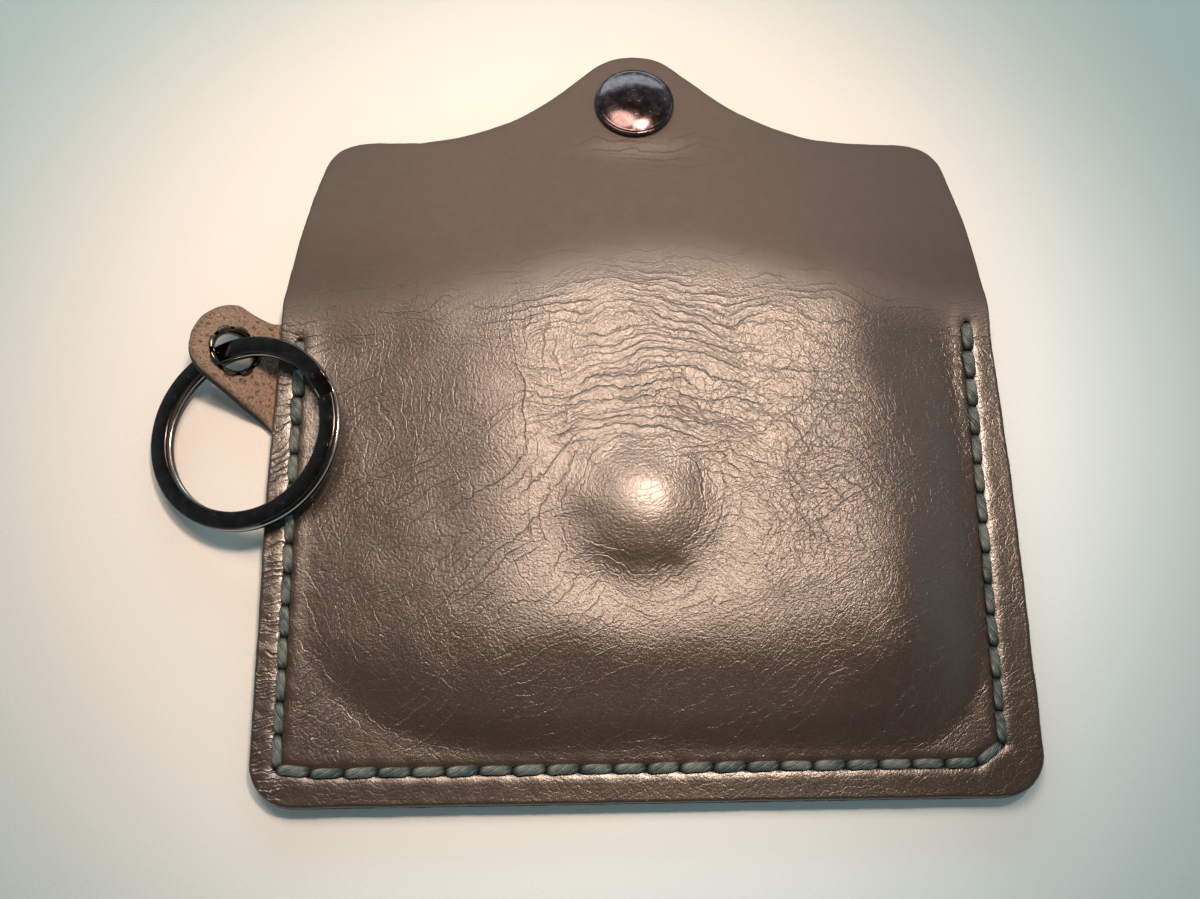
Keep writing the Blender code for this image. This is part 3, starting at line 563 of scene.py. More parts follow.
seam = {
    "lines": [  # in millimetres over the lower edge, each with its number of stitches
        ([(-46.6, 61.8), (-46.5, 4.9)], 14), ([(-46.5, 4.9), (-42.6, 4.2), (41.6, 4.3), (44.6, 6.6)], 22),
        ([(44.6, 6.6), (45.9, 64.2)], 14)],
    "hole": 0.42 * mm, "holeDepth": 1.0 * mm, "dimple": 0.10 * mm, "dimpleWidth": 0.9 * mm, "press": 0.15 * mm,
    "pressWidth": 0.55 * mm, "lip": 0.03 * mm, "lipPlace": 1.5 * mm, "lipWidth": 0.6 * mm,
}
holes = []
for line, spans in seam["lines"]:
    line = [(x * mm, h * mm + wallet["bottomY"]) for x, h in line]
    length = sum(math.dist(a, b) for a, b in zip(line, line[1:]))
    holes += [tuple(p) for p in resample(line, length / spans)][1 if holes else 0:]
holeTree = pointTree(holes)


def seamDistance(points):
    ends = np.array(holes)
    best = np.full(len(points), 1.0)
    for start, end in zip(ends[:-1], ends[1:]):
        run = end - start
        t = np.clip(((points - start) @ run) / (run @ run), 0, 1)
        best = np.minimum(best, np.hypot(*(points - start - t[:, None] * run).T))
    return best


# one leather piece: a fine sheet inside its outline, with both faces and a cut edge

sheetSize = {
    "edgeStep": 0.5 * mm, "grid": 0.72 * mm, "gridRow": 0.87, "gridGap": 0.55, "gridMargin": 1.05 * mm,
    "rings": (0.08, 0.22, 0.5, 0.95), "rounding": 0.22 * mm, "wallRows": 3, "boreSteps": 40, "boreRing": 0.3 * mm,
    "holeRings": ((0.13, 5), (0.30, 8), (0.42, 10), (0.62, 12), (0.95, 14)), "seamMargin": 1.1 * mm,
    "seamRows": (0.45, -0.45, 0.85, -0.85, 1.3, -1.3), "seamStep": 0.7 * mm, "seamGap": 0.34 * mm,
}


# adds the extra points that lie at least gap from those there
def addApart(points, extra, gap):
    points += [tuple(p) for p, far in zip(extra, nearest(pointTree(points), extra)) if far > gap]


def insideOutline(points, outline):
    x, y = points[:, 0], points[:, 1]
    inside = np.zeros(len(points), bool)
    for (ax, ay), (bx, by) in zip(outline, np.roll(outline, -1, 0)):
        crosses = (ay > y) != (by > y)
        with np.errstate(divide="ignore", invalid="ignore"):
            inside ^= crosses & (x < (bx - ax) * (y - ay) / (by - ay) + ax)
    return points[inside]


def seamPoints():
    points = []
    for x, y in holes:
        for radius, count in sheetSize["holeRings"]:
            points += [(x + radius * mm * math.cos(2 * math.pi * i / count),
                        y + radius * mm * math.sin(2 * math.pi * i / count)) for i in range(count)]
    path = resample(holes, sheetSize["seamStep"])
    for side in sheetSize["seamRows"]:
        addApart(points, path + leftOf(np.gradient(path, axis=0)) * side * mm, sheetSize["seamGap"])
    return np.array(points)


# bore is the centre and the two half sizes of an oval hole
def leatherSheet(name, outline, lowSurface, topChange, lowChange, bore=None):
    size = sheetSize
    outline = resample(outline, size["edgeStep"], closed=True)
    n = len(outline)
    inward = inwardOf(outline)
    points = [tuple(p) for p in outline]
    for offset in size["rings"]:
        points += [tuple(p) for p in outline + inward * offset * mm]
    boreLoop = []
    if bore:
        (cx, cy), (rx, ry) = bore
        boreLoop = list(range(len(points), len(points) + size["boreSteps"]))
        for grow in (0, size["boreRing"]):
            points += [(cx + (rx + grow) * math.cos(a), cy + (ry + grow) * math.sin(a))
                       for a in roundSteps(size["boreSteps"])]
    points += [tuple(p) for p in insideOutline(seamPoints(), outline + inward * size["seamMargin"])]
    low, high = outline.min(0), outline.max(0)
    xs = np.arange(low[0], high[0], size["grid"])
    ys = np.arange(low[1], high[1], size["grid"] * size["gridRow"])
    grid = np.array([(x + (j % 2) * size["grid"] / 2, y) for j, y in enumerate(ys) for x in xs])
    addApart(points, insideOutline(grid, outline + inward * size["gridMargin"]), size["grid"] * size["gridGap"])
    edges = [(i, (i + 1) % n) for i in range(n)] + list(zip(boreLoop, boreLoop[1:] + boreLoop[:1]))
    found = delaunay_2d_cdt([Vector((x / mm, y / mm)) for x, y in points], edges, [], 1, 1e-5)
    flat = np.array([v[:] for v in found[0]]) * mm
    origin = {source: i for i, sources in enumerate(found[3]) for source in sources}
    loop = [origin[i] for i in range(n)]
    boreLoop = [origin[i] for i in boreLoop]
    triangles = [tuple(f) for f in found[2]]
    if bore:
        middles = np.array([flat[list(t)].mean(0) for t in triangles])
        off = np.hypot((middles[:, 0] - cx) / rx, (middles[:, 1] - cy) / ry)
        triangles = [t for t, far in zip(triangles, off) if far > 0.995]

    # the two faces, rounded off at the edge
    edgeDistance = nearest(pointTree(outline), flat)
    edgeDistance[loop] = 0
    x, y = flat[:, 0], flat[:, 1]
    step = 0.05 * mm
    normal = np.stack([-(lowSurface(x + step, y) - lowSurface(x - step, y)) / (2 * step),
                       -(lowSurface(x, y + step) - lowSurface(x, y - step)) / (2 * step), np.ones(len(x))], 1)
    normal /= np.linalg.norm(normal, axis=1)[:, None]
    near = np.clip(1 - edgeDistance / size["rounding"], 0, 1)
    drop = size["rounding"] * (1 - np.sqrt(1 - near ** 2))
    base = np.stack([x, y, lowSurface(x, y)], 1)
    top = base + normal * (wallet["leather"] - drop + topChange(flat))[:, None]
    low = base + normal * (drop * 0.8 + lowChange(flat))[:, None]
    count = len(flat)
    verts = [tuple(p) for p in top] + [tuple(p) for p in low]
    faces = triangles + [tuple(i + count for i in reversed(t)) for t in triangles]
    kinds = [0] * len(triangles) + [1] * len(triangles)

    # the cut edge between them, a little swollen
    def wall(ring, outwards):
        rows = [ring]
        for k in range(1, size["wallRows"] + 1):
            share = k / (size["wallRows"] + 1)
            rows.append(list(range(len(verts), len(verts) + len(ring))))
            for i, out in zip(ring, outwards):
                place = top[i] * (1 - share) + low[i] * share
                swell = (0.06 * math.sin(math.pi * share) + 0.05 * noise.noise(Vector(place) * 2600)) * mm
                verts.append(tuple(place + np.array([*out, 0]) * swell))
        rows.append([i + count for i in ring])
        for upper, lower in zip(rows, rows[1:]):
            for a in range(len(ring)):
                b = (a + 1) % len(ring)
                faces.append((upper[a], lower[a], lower[b], upper[b]))
                kinds.append(2)

    wall(loop, -inward)
    if bore:
        wall(boreLoop[::-1], [(-math.cos(a), -math.sin(a)) for a in roundSteps(size["boreSteps"])[::-1]])
    mesh = bpy.data.meshes.new(name)
    mesh.from_pydata(verts, [], faces)
    mesh.polygons.foreach_set("material_index", kinds)
    mesh.shade_smooth()
    mesh.set_sharp_from_angle(angle=math.radians(50))
    mesh.update()
    atHoles = nearest(holeTree, flat)
    others = len(verts) - 2 * count
    edge = np.concatenate([edgeDistance, edgeDistance, np.zeros(others)])
    apart = np.concatenate([atHoles, atHoles, np.full(others, 1.0)])
    putAttribute(mesh, "rim", 0.75 * np.exp(-edge / (0.35 * mm)))
    # painted shade: near black at the stitch holes, for the shade that falls in them
    putAttribute(mesh, "pit", smoothStep(1.25 - apart / seam["hole"]))
    return mesh, np.array(verts)[:, :2]


# how deep the stitches press the leather in, and the pits at their holes
def seamDepth(flat):
    s = seam
    along, apart = seamDistance(flat), nearest(holeTree, flat)
    pressed = s["press"] * bell(along / s["pressWidth"])
    pressed = pressed - s["lip"] * bell((along - s["lipPlace"]) / s["lipWidth"])
    pit = s["holeDepth"] * smoothStep(1.15 - apart / s["hole"])
    return pressed, pit + s["dimple"] * bell(apart / s["dimpleWidth"])


# the large piece: back, fold and flap in one

backEdge = {
    "side": [(50, 5.5), (50, 17), (50, 29), (50, 40), (49.78, 49), (49.5, 58), (49.15, 66.3), (48.47, 69.5),
             (47.6, 73), (46.65, 77), (45.5, 81.2), (44.35, 85.2), (43.4, 87.9), (41.6, 89.85), (38.6, 90.85),
             (34.2, 91.0), (29.6, 91.25), (24.6, 92.15), (19.7, 93.9), (15.8, 95.9), (12.6, 98.1), (9.6, 100.7),
             (7.4, 102.7), (5.2, 104.6), (2.7, 105.85), (0, 106.25)],
    "corner": 5.5, "wobble": 0.10 * mm, "nick": (-30.6, 71.9, 0.35),
}


def backOutline():
    corner = backEdge["corner"]
    right = cornerArc((50 - corner, corner), corner, -90, 0, 14)[:-1]
    right += [tuple(p) for p in roundCurve(backEdge["side"], 8)]
    points = right + [(-x, h) for x, h in reversed(right[:-1])]
    points = resample([(x * mm, h * mm + wallet["bottomY"]) for x, h in points], 0.4 * mm, closed=True)
    amount = backEdge["wobble"] * (0.8 + fieldNoise(points, 5 * mm) + 0.5 * fieldNoise(points, 1.1 * mm, 4.0))
    nickX, nickY, depth = backEdge["nick"]
    distance = np.hypot(points[:, 0] - nickX * mm, points[:, 1] - nickY * mm)
    amount = amount + depth * mm * bell(distance / (0.8 * mm))
    return points + inwardOf(points) * np.maximum(amount, 0)[:, None]


# a pouch is never even: broad shallow hollows, and ridges pulled round the nub
def pouchRipple(x, y):
    height = y - wallet["bottomY"]
    points = np.stack([x, y], 1)
    away = points - np.array(wallet["nub"])
    distance = fromNub(x, y)
    inside = smoothStep((wallet["halfWidth"] - 7 * mm - np.abs(x)) / (8 * mm))
    inside = inside * smoothStep((height - 8 * mm) / (8 * mm))
    inside = inside * smoothStep((73 * mm - height) / (6 * mm)) * smoothStep((distance - 4 * mm) / (5 * mm))
    turn = np.arctan2(away[:, 1], away[:, 0])
    rings = np.stack([np.cos(turn) * 2.2, np.sin(turn) * 2.2, distance / (7 * mm)], 1)
    pulled = np.array([noise.noise(Vector(p)) for p in rings])
    hollows = fieldNoise(points, 13 * mm, 2.0) + 0.8 * fieldNoise(points, 6 * mm, 7.0)
    return inside * pocket["ripple"] * (hollows + 0.9 * pulled)


def backRest(x, y):
    return backFlesh(x, y) + pouchRipple(x, y)


def backTop(flat):
    x, height = flat[:, 0] / mm, (flat[:, 1] - wallet["bottomY"]) / mm
    crinkle = smoothStep((-45.0 - x) / 1.2) * smoothStep((62 - height) / 6)
    crinkle = crinkle * 0.09 * mm * fieldNoise(flat * (1.0, 2.2), 1.7 * mm, 3.0)
    fine = 0.02 * mm * fieldNoise(flat, 1.6 * mm, 5.0)
    pressed, pit = seamDepth(flat)
    return crinkle + fine - pressed - pit


# soft spots of the back's masks, in millimetres: share, place across and over the lower edge, and half sizes
backSpots = {
    "folds": [(1.9, 0.5, 90.0, 9, 3.0), (1, 6, 53, 22, 10), (0.35, 4, 30, 34, 14)],
    "upright": [(1, -29, 50, 9, 14), (1, -14, 55, 6, 10), (0.6, 24, 40, 9, 17), (0.9, -41, 56, 4, 10)],
    "slant": [(1, -20, 40, 18, 14), (0.8, 26, 42, 16, 17), (0.9, -38, 50, 8, 14), (1, -39, 11, 12, 9),
              (0.7, -22, 22, 22, 14), (0.5, 20, 16, 24, 10)],
    "cross": [(1, 27, 40, 14, 17), (0.4, -26, 22, 16, 12), (0.3, 8, 54, 20, 10)],
    "web": [(0.45, 14, 55, 28, 14), (0.6, 28, 38, 15, 17)],
    "shade": [(0.7, -38, 14, 16, 11), (0.5, -43, 32, 8, 15), (0.9, 38, 16, 15, 14)],
}


def backMasks(mesh, places):
    x, y = places.T
    distance = fromNub(x, y) / mm
    x, height = x / mm, (y - wallet["bottomY"]) / mm

    def spots(start, rows):
        for share, cx, cy, sx, sy in rows:
            start = start + share * np.exp(-((x - cx) / sx) ** 2 - ((height - cy) / sy) ** 2)
        return start

    flapShare = smoothStep((height - 57 - 8 * bell((x - 3) / 24)) / 16) * spots(1, [(-0.5, 0.5, 90.4, 8, 2.4)])
    inSeam = smoothStep((45.5 - np.abs(x)) / 2) * smoothStep((height - 5.5) / 2)
    away = smoothStep((distance - 5) / 5)
    pouch = (1 - smoothStep((height - 58) / 7)) * away * inSeam * (0.25 + 0.75 * bell((distance - 9) / 7))
    arch = 64.5 + 3.0 * np.cos(x / 22)
    folds = spots(bell((height - arch) / 6.0) * (0.6 + 0.4 * bell((x - 4) / 30)), backSpots["folds"])
    margin = smoothStep((-45.6 - x) / 0.8) * smoothStep((66 - height) / 3)
    sides = smoothStep((np.abs(x) - 39) / 6) * (0.7 + 0.3 * (x > 0))
    shade = np.maximum(sides, smoothStep((13 - height) / 6)) * (1 - flapShare)
    shade = spots(shade, backSpots["shade"]) + 0.55 * bell((distance - 7.6) / 2.0)
    shade = shade + flapShare * (0.9 * smoothStep((x - 4) / 28) + 0.6 * smoothStep((-x - 20) / 22))
    masks = {
        "flapShare": flapShare, "shade": shade, "arcCrease": pouch, "foldCrease": folds * away,
        "uprightCrease": spots(0, backSpots["upright"]) * inSeam,
        "slantCrease": spots(0, backSpots["slant"]) * (1 - flapShare) * inSeam * away,
        "crossCrease": spots(0, backSpots["cross"]) * inSeam * away,
        "web": spots(0.30, backSpots["web"]) * (1 - flapShare), "marginCrease": margin,
        "nubShine": np.exp(-(distance / 4.6) ** 4),
    }
    for maskName, mask in masks.items():
        putAttribute(mesh, maskName, np.clip(mask, 0, 1))


backMesh, backPlaces = leatherSheet("leatherBack", backOutline(), backRest, backTop, lambda flat: 0)
backMasks(backMesh, backPlaces)
leatherBack = linkObject("leatherBack", backMesh, grainLeather, fleshLeather, cutEdge)
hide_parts("back_panel", "fold_strip", "flap")
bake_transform(leatherBack)
print("back, fold and flap:", len(backMesh.polygons), "faces")

# the small piece: front panel and key tab in one, grain side down

frontEdge = {
    "corner": 5.5, "tabRoot": (-50.0, 45.0, 29.1), "tabEnd": (-55.4621, 39.7587, 5.25), "rise": 1.30, "dip": 0.5,
    "wobble": 0.07 * mm, "hole": ((-55.896 * mm, 39.7587 * mm), (2.86 * mm, 3.5 * mm)), "groove": 0.80 * mm,
    "grooveHalf": 0.62 * mm,
}


def frontOutline():
    edge = frontEdge
    corner = edge["corner"]
    rootX, rootTop, rootLow = edge["tabRoot"]
    endX, endY, radius = edge["tabEnd"]
    base = wallet["bottomY"] / mm
    points = cornerArc((50 - corner, base + corner), corner, -90, 0, 14) + [(50, 45), (rootX, rootTop)]
    for share in np.linspace(0, 1, 12)[1:-1]:
        y = rootTop + (endY + radius * edge["rise"] - rootTop) * share - edge["dip"] * math.sin(math.pi * share)
        points.append((rootX + (endX - rootX) * share, y))
    head = cornerArc((endX, endY), radius, 90, 225, 30)
    points += [(x, endY + (y - endY) * (edge["rise"] if y > endY else 1)) for x, y in head] + [(rootX, rootLow)]
    points += cornerArc((-50 + corner, base + corner), corner, 180, 270, 14)
    points = resample([(x * mm, y * mm) for x, y in points], 0.35 * mm, closed=True)
    amount = edge["wobble"] * (1 + fieldNoise(points, 2.5 * mm, 9.0) + 0.7 * fieldNoise(points, 0.8 * mm, 1.0))
    return points + inwardOf(points) * np.maximum(amount, 0)[:, None]


def frontGroove(flat):
    return frontEdge["groove"] * smoothStep(1.25 - seamDistance(flat) / frontEdge["grooveHalf"])


def frontTop(flat):
    return 0.04 * mm * fieldNoise(flat, 0.7 * mm, 8.0)


frontMasks = {"flapShare": 0.6, "arcCrease": 0.2, "foldCrease": 0.1, "uprightCrease": 0.1, "slantCrease": 0.15,
              "crossCrease": 0.1, "web": 0.5, "marginCrease": 0.0, "nubShine": 0.0, "shade": 0.3}
frontMesh = leatherSheet("leatherFront", frontOutline(), frontRest, frontTop, frontGroove, frontEdge["hole"])[0]
for maskName, level in frontMasks.items():
    putAttribute(frontMesh, maskName, np.full(len(frontMesh.vertices), level))
leatherFront = linkObject("leatherFront", frontMesh, fleshLeather, grainLeather, cutEdge)
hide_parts("front_panel", "key_tab")
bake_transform(leatherFront)
print("front and tab:", len(frontMesh.polygons), "faces")

# stitches: one twisted length of thread between each two holes

stitch = {
    "width": 1.20 * mm, "height": 0.90 * mm, "dip": 0.62 * mm, "slant": math.radians(4.0), "turns": 1.15,
    "above": 0.28 * mm, "lowZ": 0.54 * mm, "seed": 7, "sides": 14, "steps": 16,
}


def makeStitchTree():
    tree = bpy.data.node_groups.new("threadStitches", "GeometryNodeTree")
    for name, kind in (("Geometry", "Geometry"), ("Thread Width", "Float"), ("Thread Height", "Float"),
                       ("End Dip", "Float"), ("Slant", "Float"), ("Turns", "Float"), ("Seed", "Int"),
                       ("Thread", "Material")):
        tree.interface.new_socket(name=name, in_out="INPUT", socket_type="NodeSocket" + kind)
    tree.interface.new_socket(name="Geometry", in_out="OUTPUT", socket_type="NodeSocketGeometry")
    w = Wires(tree)
    source = w.node("NodeGroupInput")

    def after(kind, geometry, inputs=None, **settings):
        return w.node("GeometryNode" + kind, {"Geometry": geometry, **(inputs or {})}, **settings)[0]

    def named(name, kind="FLOAT"):
        return w.node("GeometryNodeInputNamedAttribute", {"Name": name}, data_type=kind)[0]

    # one thread, a unit long, with its three plies and its ends drawn into the holes
    rod = w.node("GeometryNodeMeshCylinder", {"Vertices": stitch["sides"], "Side Segments": stitch["steps"],
                                              "Radius": 1.0, "Depth": 1.0}, fill_type="TRIANGLE_FAN")["Mesh"]
    x, y, z = w.split(w.node("GeometryNodeInputPosition")[0])
    angle = w.math("ARCTAN2", x, y)
    far = w.times(w.math("ABSOLUTE", z), 2.0)
    marks = w.join(w.times(z, 4.2), w.timesPlus(z, 1.5, w.times(angle, 0.45)), 0.0)
    rod = after("StoreNamedAttribute", rod, {"Name": "threadPlace", "Value": marks}, data_type="FLOAT_VECTOR")
    # painted shade: the thread darkens towards its ends, where it goes into the holes
    shade = w.span(far, 0.64, 0.94, shape="LINEAR")
    rod = after("StoreNamedAttribute", rod, {"Name": "threadEndShade", "Value": shade}, data_type="FLOAT")
    ply = w.math("COSINE", w.plus(w.times(angle, 3.0), w.times(z, w.times(source["Turns"], 6.2832))))
    slim = w.timesPlus(w.math("POWER", far, 3.0), -0.36, 1.0)
    girth = w.times(slim, w.timesPlus(ply, 0.085, 1.0))
    side = w.times(w.times(x, girth), w.times(source["Thread Width"], 0.5))
    up = w.times(w.times(y, girth), w.times(source["Thread Height"], 0.5))
    drop = w.times(w.math("POWER", far, 4.0), source["End Dip"])
    rod = after("SetPosition", rod, {"Position": w.join(z, w.times(side, -1.0), w.minus(up, drop))})
    rod = after("SetShadeSmooth", rod)

    # a little chance in each stitch's lean and thickness
    chance = w.node("FunctionNodeRandomValue", {"Seed": source["Seed"]}, data_type="FLOAT")
    shift = [socket for socket in chance if socket.type == "VALUE" and socket.enabled][0]
    lean = w.timesPlus(w.minus(shift, 0.5), 0.10, source["Slant"])
    turn = w.vector("ADD", named("turn", "FLOAT_VECTOR"), w.join(0.0, 0.0, lean))
    thick = w.times(named("thick"), w.timesPlus(shift, 0.14, 0.93))
    rods = w.node("GeometryNodeInstanceOnPoints", {
        "Points": source["Geometry"], "Instance": rod, "Rotation": turn,
        "Scale": w.join(named("span"), thick, thick)})[0]
    made = after("SetMaterial", after("RealizeInstances", rods), {"Material": source["Thread"]})
    w.fill(tree.nodes.new("NodeGroupOutput").inputs, {"Geometry": made})
    return tree


stitchTree = makeStitchTree()


# what a tree makes of a mesh of points, as a plain mesh
def bakeTree(name, points, tree, values):
    helper = linkObject(name + "Points", points)
    modifier = helper.modifiers.new("tree", "NODES")
    modifier.node_group = tree
    for item in tree.interface.items_tree:
        if item.item_type == "SOCKET" and item.in_out == "INPUT" and item.name in values:
            modifier[item.identifier] = values[item.name]
    graph = bpy.context.evaluated_depsgraph_get()
    made = bpy.data.meshes.new_from_object(helper.evaluated_get(graph), depsgraph=graph)
    bpy.data.objects.remove(helper, do_unlink=True)
    made.name = name
    return linkObject(name, made)


def stitchRow(name, level, flip):
    rows = []
    last = len(holes) - 2
    for i, (a, b) in enumerate(zip(holes, holes[1:])):
        x, y = (a[0] + b[0]) / 2, (a[1] + b[1]) / 2
        length = math.dist(a, b)
        turn = math.atan2(b[1] - a[1], b[0] - a[0])
        fromTop = min(i, last - i)
        here, thick = level, 1.0
        if not flip:
            here = float(backRest(np.array([x]), np.array([y]))[0]) + wallet["leather"] + level
            thick = 1.32 - 0.06 * min(fromTop, 5)
        rows.append((x, y, here, turn, length * 1.02, thick))
        if fromTop < 2 and not flip:  # the doubled stitches at the seam's ends
            side = 0.30 * mm if i < 2 else -0.30 * mm
            rows.append((x + side, y - 0.2 * mm, here + 0.22 * mm, turn + 0.12, length * 0.92, 0.95))
    mesh = bpy.data.meshes.new(name + "Points")
    mesh.from_pydata([row[:3] for row in rows], [], [])
    putAttribute(mesh, "turn", [(math.pi if flip else 0.0, 0.0, row[3]) for row in rows])
    putAttribute(mesh, "span", [row[4] for row in rows])
    putAttribute(mesh, "thick", [row[5] for row in rows])
    return bakeTree(name, mesh, stitchTree, {
        "Thread Width": stitch["width"], "Thread Height": stitch["height"], "End Dip": stitch["dip"],
        "Slant": -stitch["slant"] if flip else stitch["slant"], "Turns": stitch["turns"], "Seed": stitch["seed"],
        "Thread": waxedThread})


stitchesBack = stitchRow("stitchesBack", stitch["above"], False)
settle(stitchesBack, "seam_thread_a", "pocket")
stitchesFront = stitchRow("stitchesFront", stitch["lowZ"], True)
settle(stitchesFront, "seam_thread_b", "pocket")
print("stitches:", len(stitchesBack.data.polygons) + len(stitchesFront.data.polygons), "faces")

# turned metal parts


# a mesh with its faces outwards, put in its place, smooth but for its sharp edges
def shapeMesh(name, verts, faces, place, sharp):
    mesh = bpy.data.meshes.new(name)
    mesh.from_pydata(verts, [], faces)
    shape = bmesh.new()
    shape.from_mesh(mesh)
    bmesh.ops.recalc_face_normals(shape, faces=shape.faces)
    shape.transform(place)
    shape.to_mesh(mesh)
    shape.free()
    mesh.shade_smooth()
    mesh.set_sharp_from_angle(angle=math.radians(sharp))
    return mesh


def filletProfile(points, radius, steps=4):
    out = [points[0]]
    for a, b, c in zip(points, points[1:], points[2:]):
        a, b, c = Vector(a), Vector(b), Vector(c)
        cut = min(radius, (b - a).length * 0.45, (c - b).length * 0.45)
        start = b + (a - b).normalized() * cut
        end = b + (c - b).normalized() * cut
        for i in range(steps + 1):
            t = i / steps
            out.append(tuple(start * (1 - t) ** 2 + b * 2 * t * (1 - t) + end * t ** 2))
    return out + [points[-1]]


# a profile of radius and height in millimetres turned round Z; it is closed where it misses the axis
def turnedShape(profile, segments):
    verts, rings, faces = [], [], []
    for r, z in profile:
        start = len(verts)
        angles = [2 * math.pi * i / segments for i in range(segments if r else 1)]
        verts += [(r * mm * math.cos(angle), r * mm * math.sin(angle), z * mm) for angle in angles]
        rings.append(range(start, len(verts)))
    onAxis = profile[0][0] == 0 and profile[-1][0] == 0
    for low, high in zip(rings, rings[1:] + ([] if onAxis else rings[:1])):
        for i in range(segments):
            j = (i + 1) % segments
            corners = [low[i % len(low)], low[j % len(low)], high[j % len(high)], high[i % len(high)]]
            if len(set(corners)) > 2:
                faces.append(list(dict.fromkeys(corners)))
    return verts, faces


flapTurn = Matrix.Rotation(-wallet["flapSlope"], 4, "X")
flapFrame = Matrix.Translation((0, wallet["foldY"], wallet["axisZ"])) @ flapTurn
capFrame = flapFrame @ Matrix.Translation((0, wallet["snapReach"], wallet["fleshOffset"]))
studFrame = Matrix.Translation((0, wallet["studY"], 0))

# the cap's domed top and hollow underside, in millimetres, joined by its rolled edge
capForm = {
    "domeRadius": 5.32, "domeHigh": 3.25, "domeLow": 2.42, "underRadius": 5.22, "underHigh": 2.90,
    "underDrop": 0.42,
    "roll": [(5.40, 2.36), (5.47, 2.40), (5.58, 2.38), (5.68, 2.28), (5.74, 2.12), (5.75, 1.96), (5.70, 1.83),
             (5.58, 1.76), (4.62, 1.75), (4.58, 1.83), (4.60, 1.95), (4.70, 1.985), (5.30, 1.99), (5.38, 2.08)],
}
f = capForm
capDome = [(f["domeRadius"] * t, f["domeHigh"] - (f["domeHigh"] - f["domeLow"]) * t ** 2.5)
           for t in np.linspace(0, 1, 22)]
capUnder = [(f["underRadius"] * t, f["underHigh"] - f["underDrop"] * t ** 3.2) for t in np.linspace(1, 0, 14)]
capProfile = capDome + f["roll"] + capUnder

snapParts = {
    # name: node, body, slot, frame, finish, steps round, fillet, and radius and height in millimetres
    "snapCap": ("snap_cap", "flap", "dark_metal", capFrame, capPlate, 128, None, capProfile),
    "capPost": ("cap_post", "flap", "inner_metal", capFrame, innerPlate, 64, 0.12, [
        (0, 2.46), (4.55, 2.46), (4.65, 2.11), (4.30, 2.11), (4.30, 1.76), (1.3, 1.75), (1.3, -0.70),
        (1.70, -0.78), (1.62, -1.02), (1.2, -1.07), (0.55, -0.98), (0.4, -0.70), (0, -0.66)]),
    "snapSocket": ("snap_socket", "flap", "dark_metal", capFrame, ringPlate, 112, 0.16, [
        (1.6, -0.42), (1.6, -0.25), (5.0, -0.25), (5.0, -2.85), (4.70, -3.2), (4.2, -3.2), (3.75, -3.02),
        (3.15, -3.02), (2.85, -3.2), (2.62, -3.2), (2.45, -3.02), (2.45, -2.87), (3.0, -2.85), (4.65, -2.85),
        (4.65, -0.6), (1.6, -0.6)]),
    "snapStud": ("snap_stud", "pocket", "dark_metal", studFrame, ringPlate, 96, 0.14, [
        (1.2, 3.40), (4.05, 3.42), (4.2, 3.3), (4.2, 3.02), (4.05, 2.90), (2.2, 2.90), (1.55, 2.78), (1.55, 1.60),
        (2.0, 1.20), (2.0, 0.95), (1.7, 0.70), (0, 0.70), (0, 1.05), (1.6, 1.06), (1.62, 1.20), (1.2, 1.52)]),
    "studPost": ("stud_post", "pocket", "inner_metal", studFrame, innerPlate, 64, 0.12, [
        (0, 6.0), (3.6, 6.0), (4.2, 5.55), (4.05, 5.40), (0.95, 5.40), (0.95, 1.48), (1.25, 1.33), (1.25, 1.19),
        (0, 1.17)]),
}
for name, (node, body, slot, place, finish, segments, fillet, profile) in snapParts.items():
    verts, faces = turnedShape(filletProfile(profile, fillet) if fillet else profile, segments)
    settle(linkObject(name, shapeMesh(name, verts, faces, place, 40), finish), node, body)


# a closed section swept along angles, radii and heights round a frame's Z
def sweptPiece(name, frame, path, section, material, sharp):
    turn = frame.to_3x3()
    up = turn @ Vector((0, 0, 1))
    verts = []
    for angle, radius, height in path:
        out = Vector((math.cos(angle), math.sin(angle), 0))
        middle = frame @ (out * radius + Vector((0, 0, height)))
        verts += [tuple(middle + turn @ out * a + up * b) for a, b in section]
    n = len(section)
    faces = [(k + i, k + (i + 1) % n, k + n + (i + 1) % n, k + n + i)
             for k in range(0, len(verts) - n, n) for i in range(n)]
    faces += [tuple(range(n))[::-1], tuple(range(len(verts) - n, len(verts)))]
    return linkObject(name, shapeMesh(name, verts, faces, Matrix(), sharp), material)


springForm = {"radius": 2.03 * mm, "wire": 0.25 * mm, "level": -2.48 * mm, "gap": 40.0}
f = springForm
springPath = [(a, f["radius"], f["level"]) for a in np.radians(np.linspace(f["gap"] / 2, 360 - f["gap"] / 2, 60))]
springSection = [(f["wire"] * math.cos(a), f["wire"] * math.sin(a)) for a in roundSteps(12)]
snapSpring = sweptPiece("snapSpring", capFrame, springPath, springSection, innerPlate, 50)
settle(snapSpring, "snap_spring", "flap")

# eyelet: a rolled rim below, a barrel, and a collar split into curled petals on the flesh side

eyeletForm = {
    "petals": 8, "columns": 9, "slit": 0.13, "wall": 0.14,
    "curl": [(2.80, 0.25), (2.84, 0.66), (2.94, 0.98), (3.12, 1.18), (3.34, 1.24), (3.56, 1.14), (3.70, 0.96)],
    "barrel": [(4.05, -0.80), (4.20, -0.92), (4.18, -1.08), (4.02, -1.22), (3.72, -1.30), (3.48, -1.24),
               (3.15, -1.0), (2.72, -0.5), (2.62, 0), (2.66, 0.5), (2.84, 0.92), (2.98, 0.92), (2.90, 0.5),
               (2.85, 0), (2.94, -0.5), (3.25, -0.76), (3.5, -0.82)],
}
eyeletFrame = Matrix.Translation(wallet["eyelet"]) @ Matrix.Rotation(wallet["tabTilt"], 4, "Y")


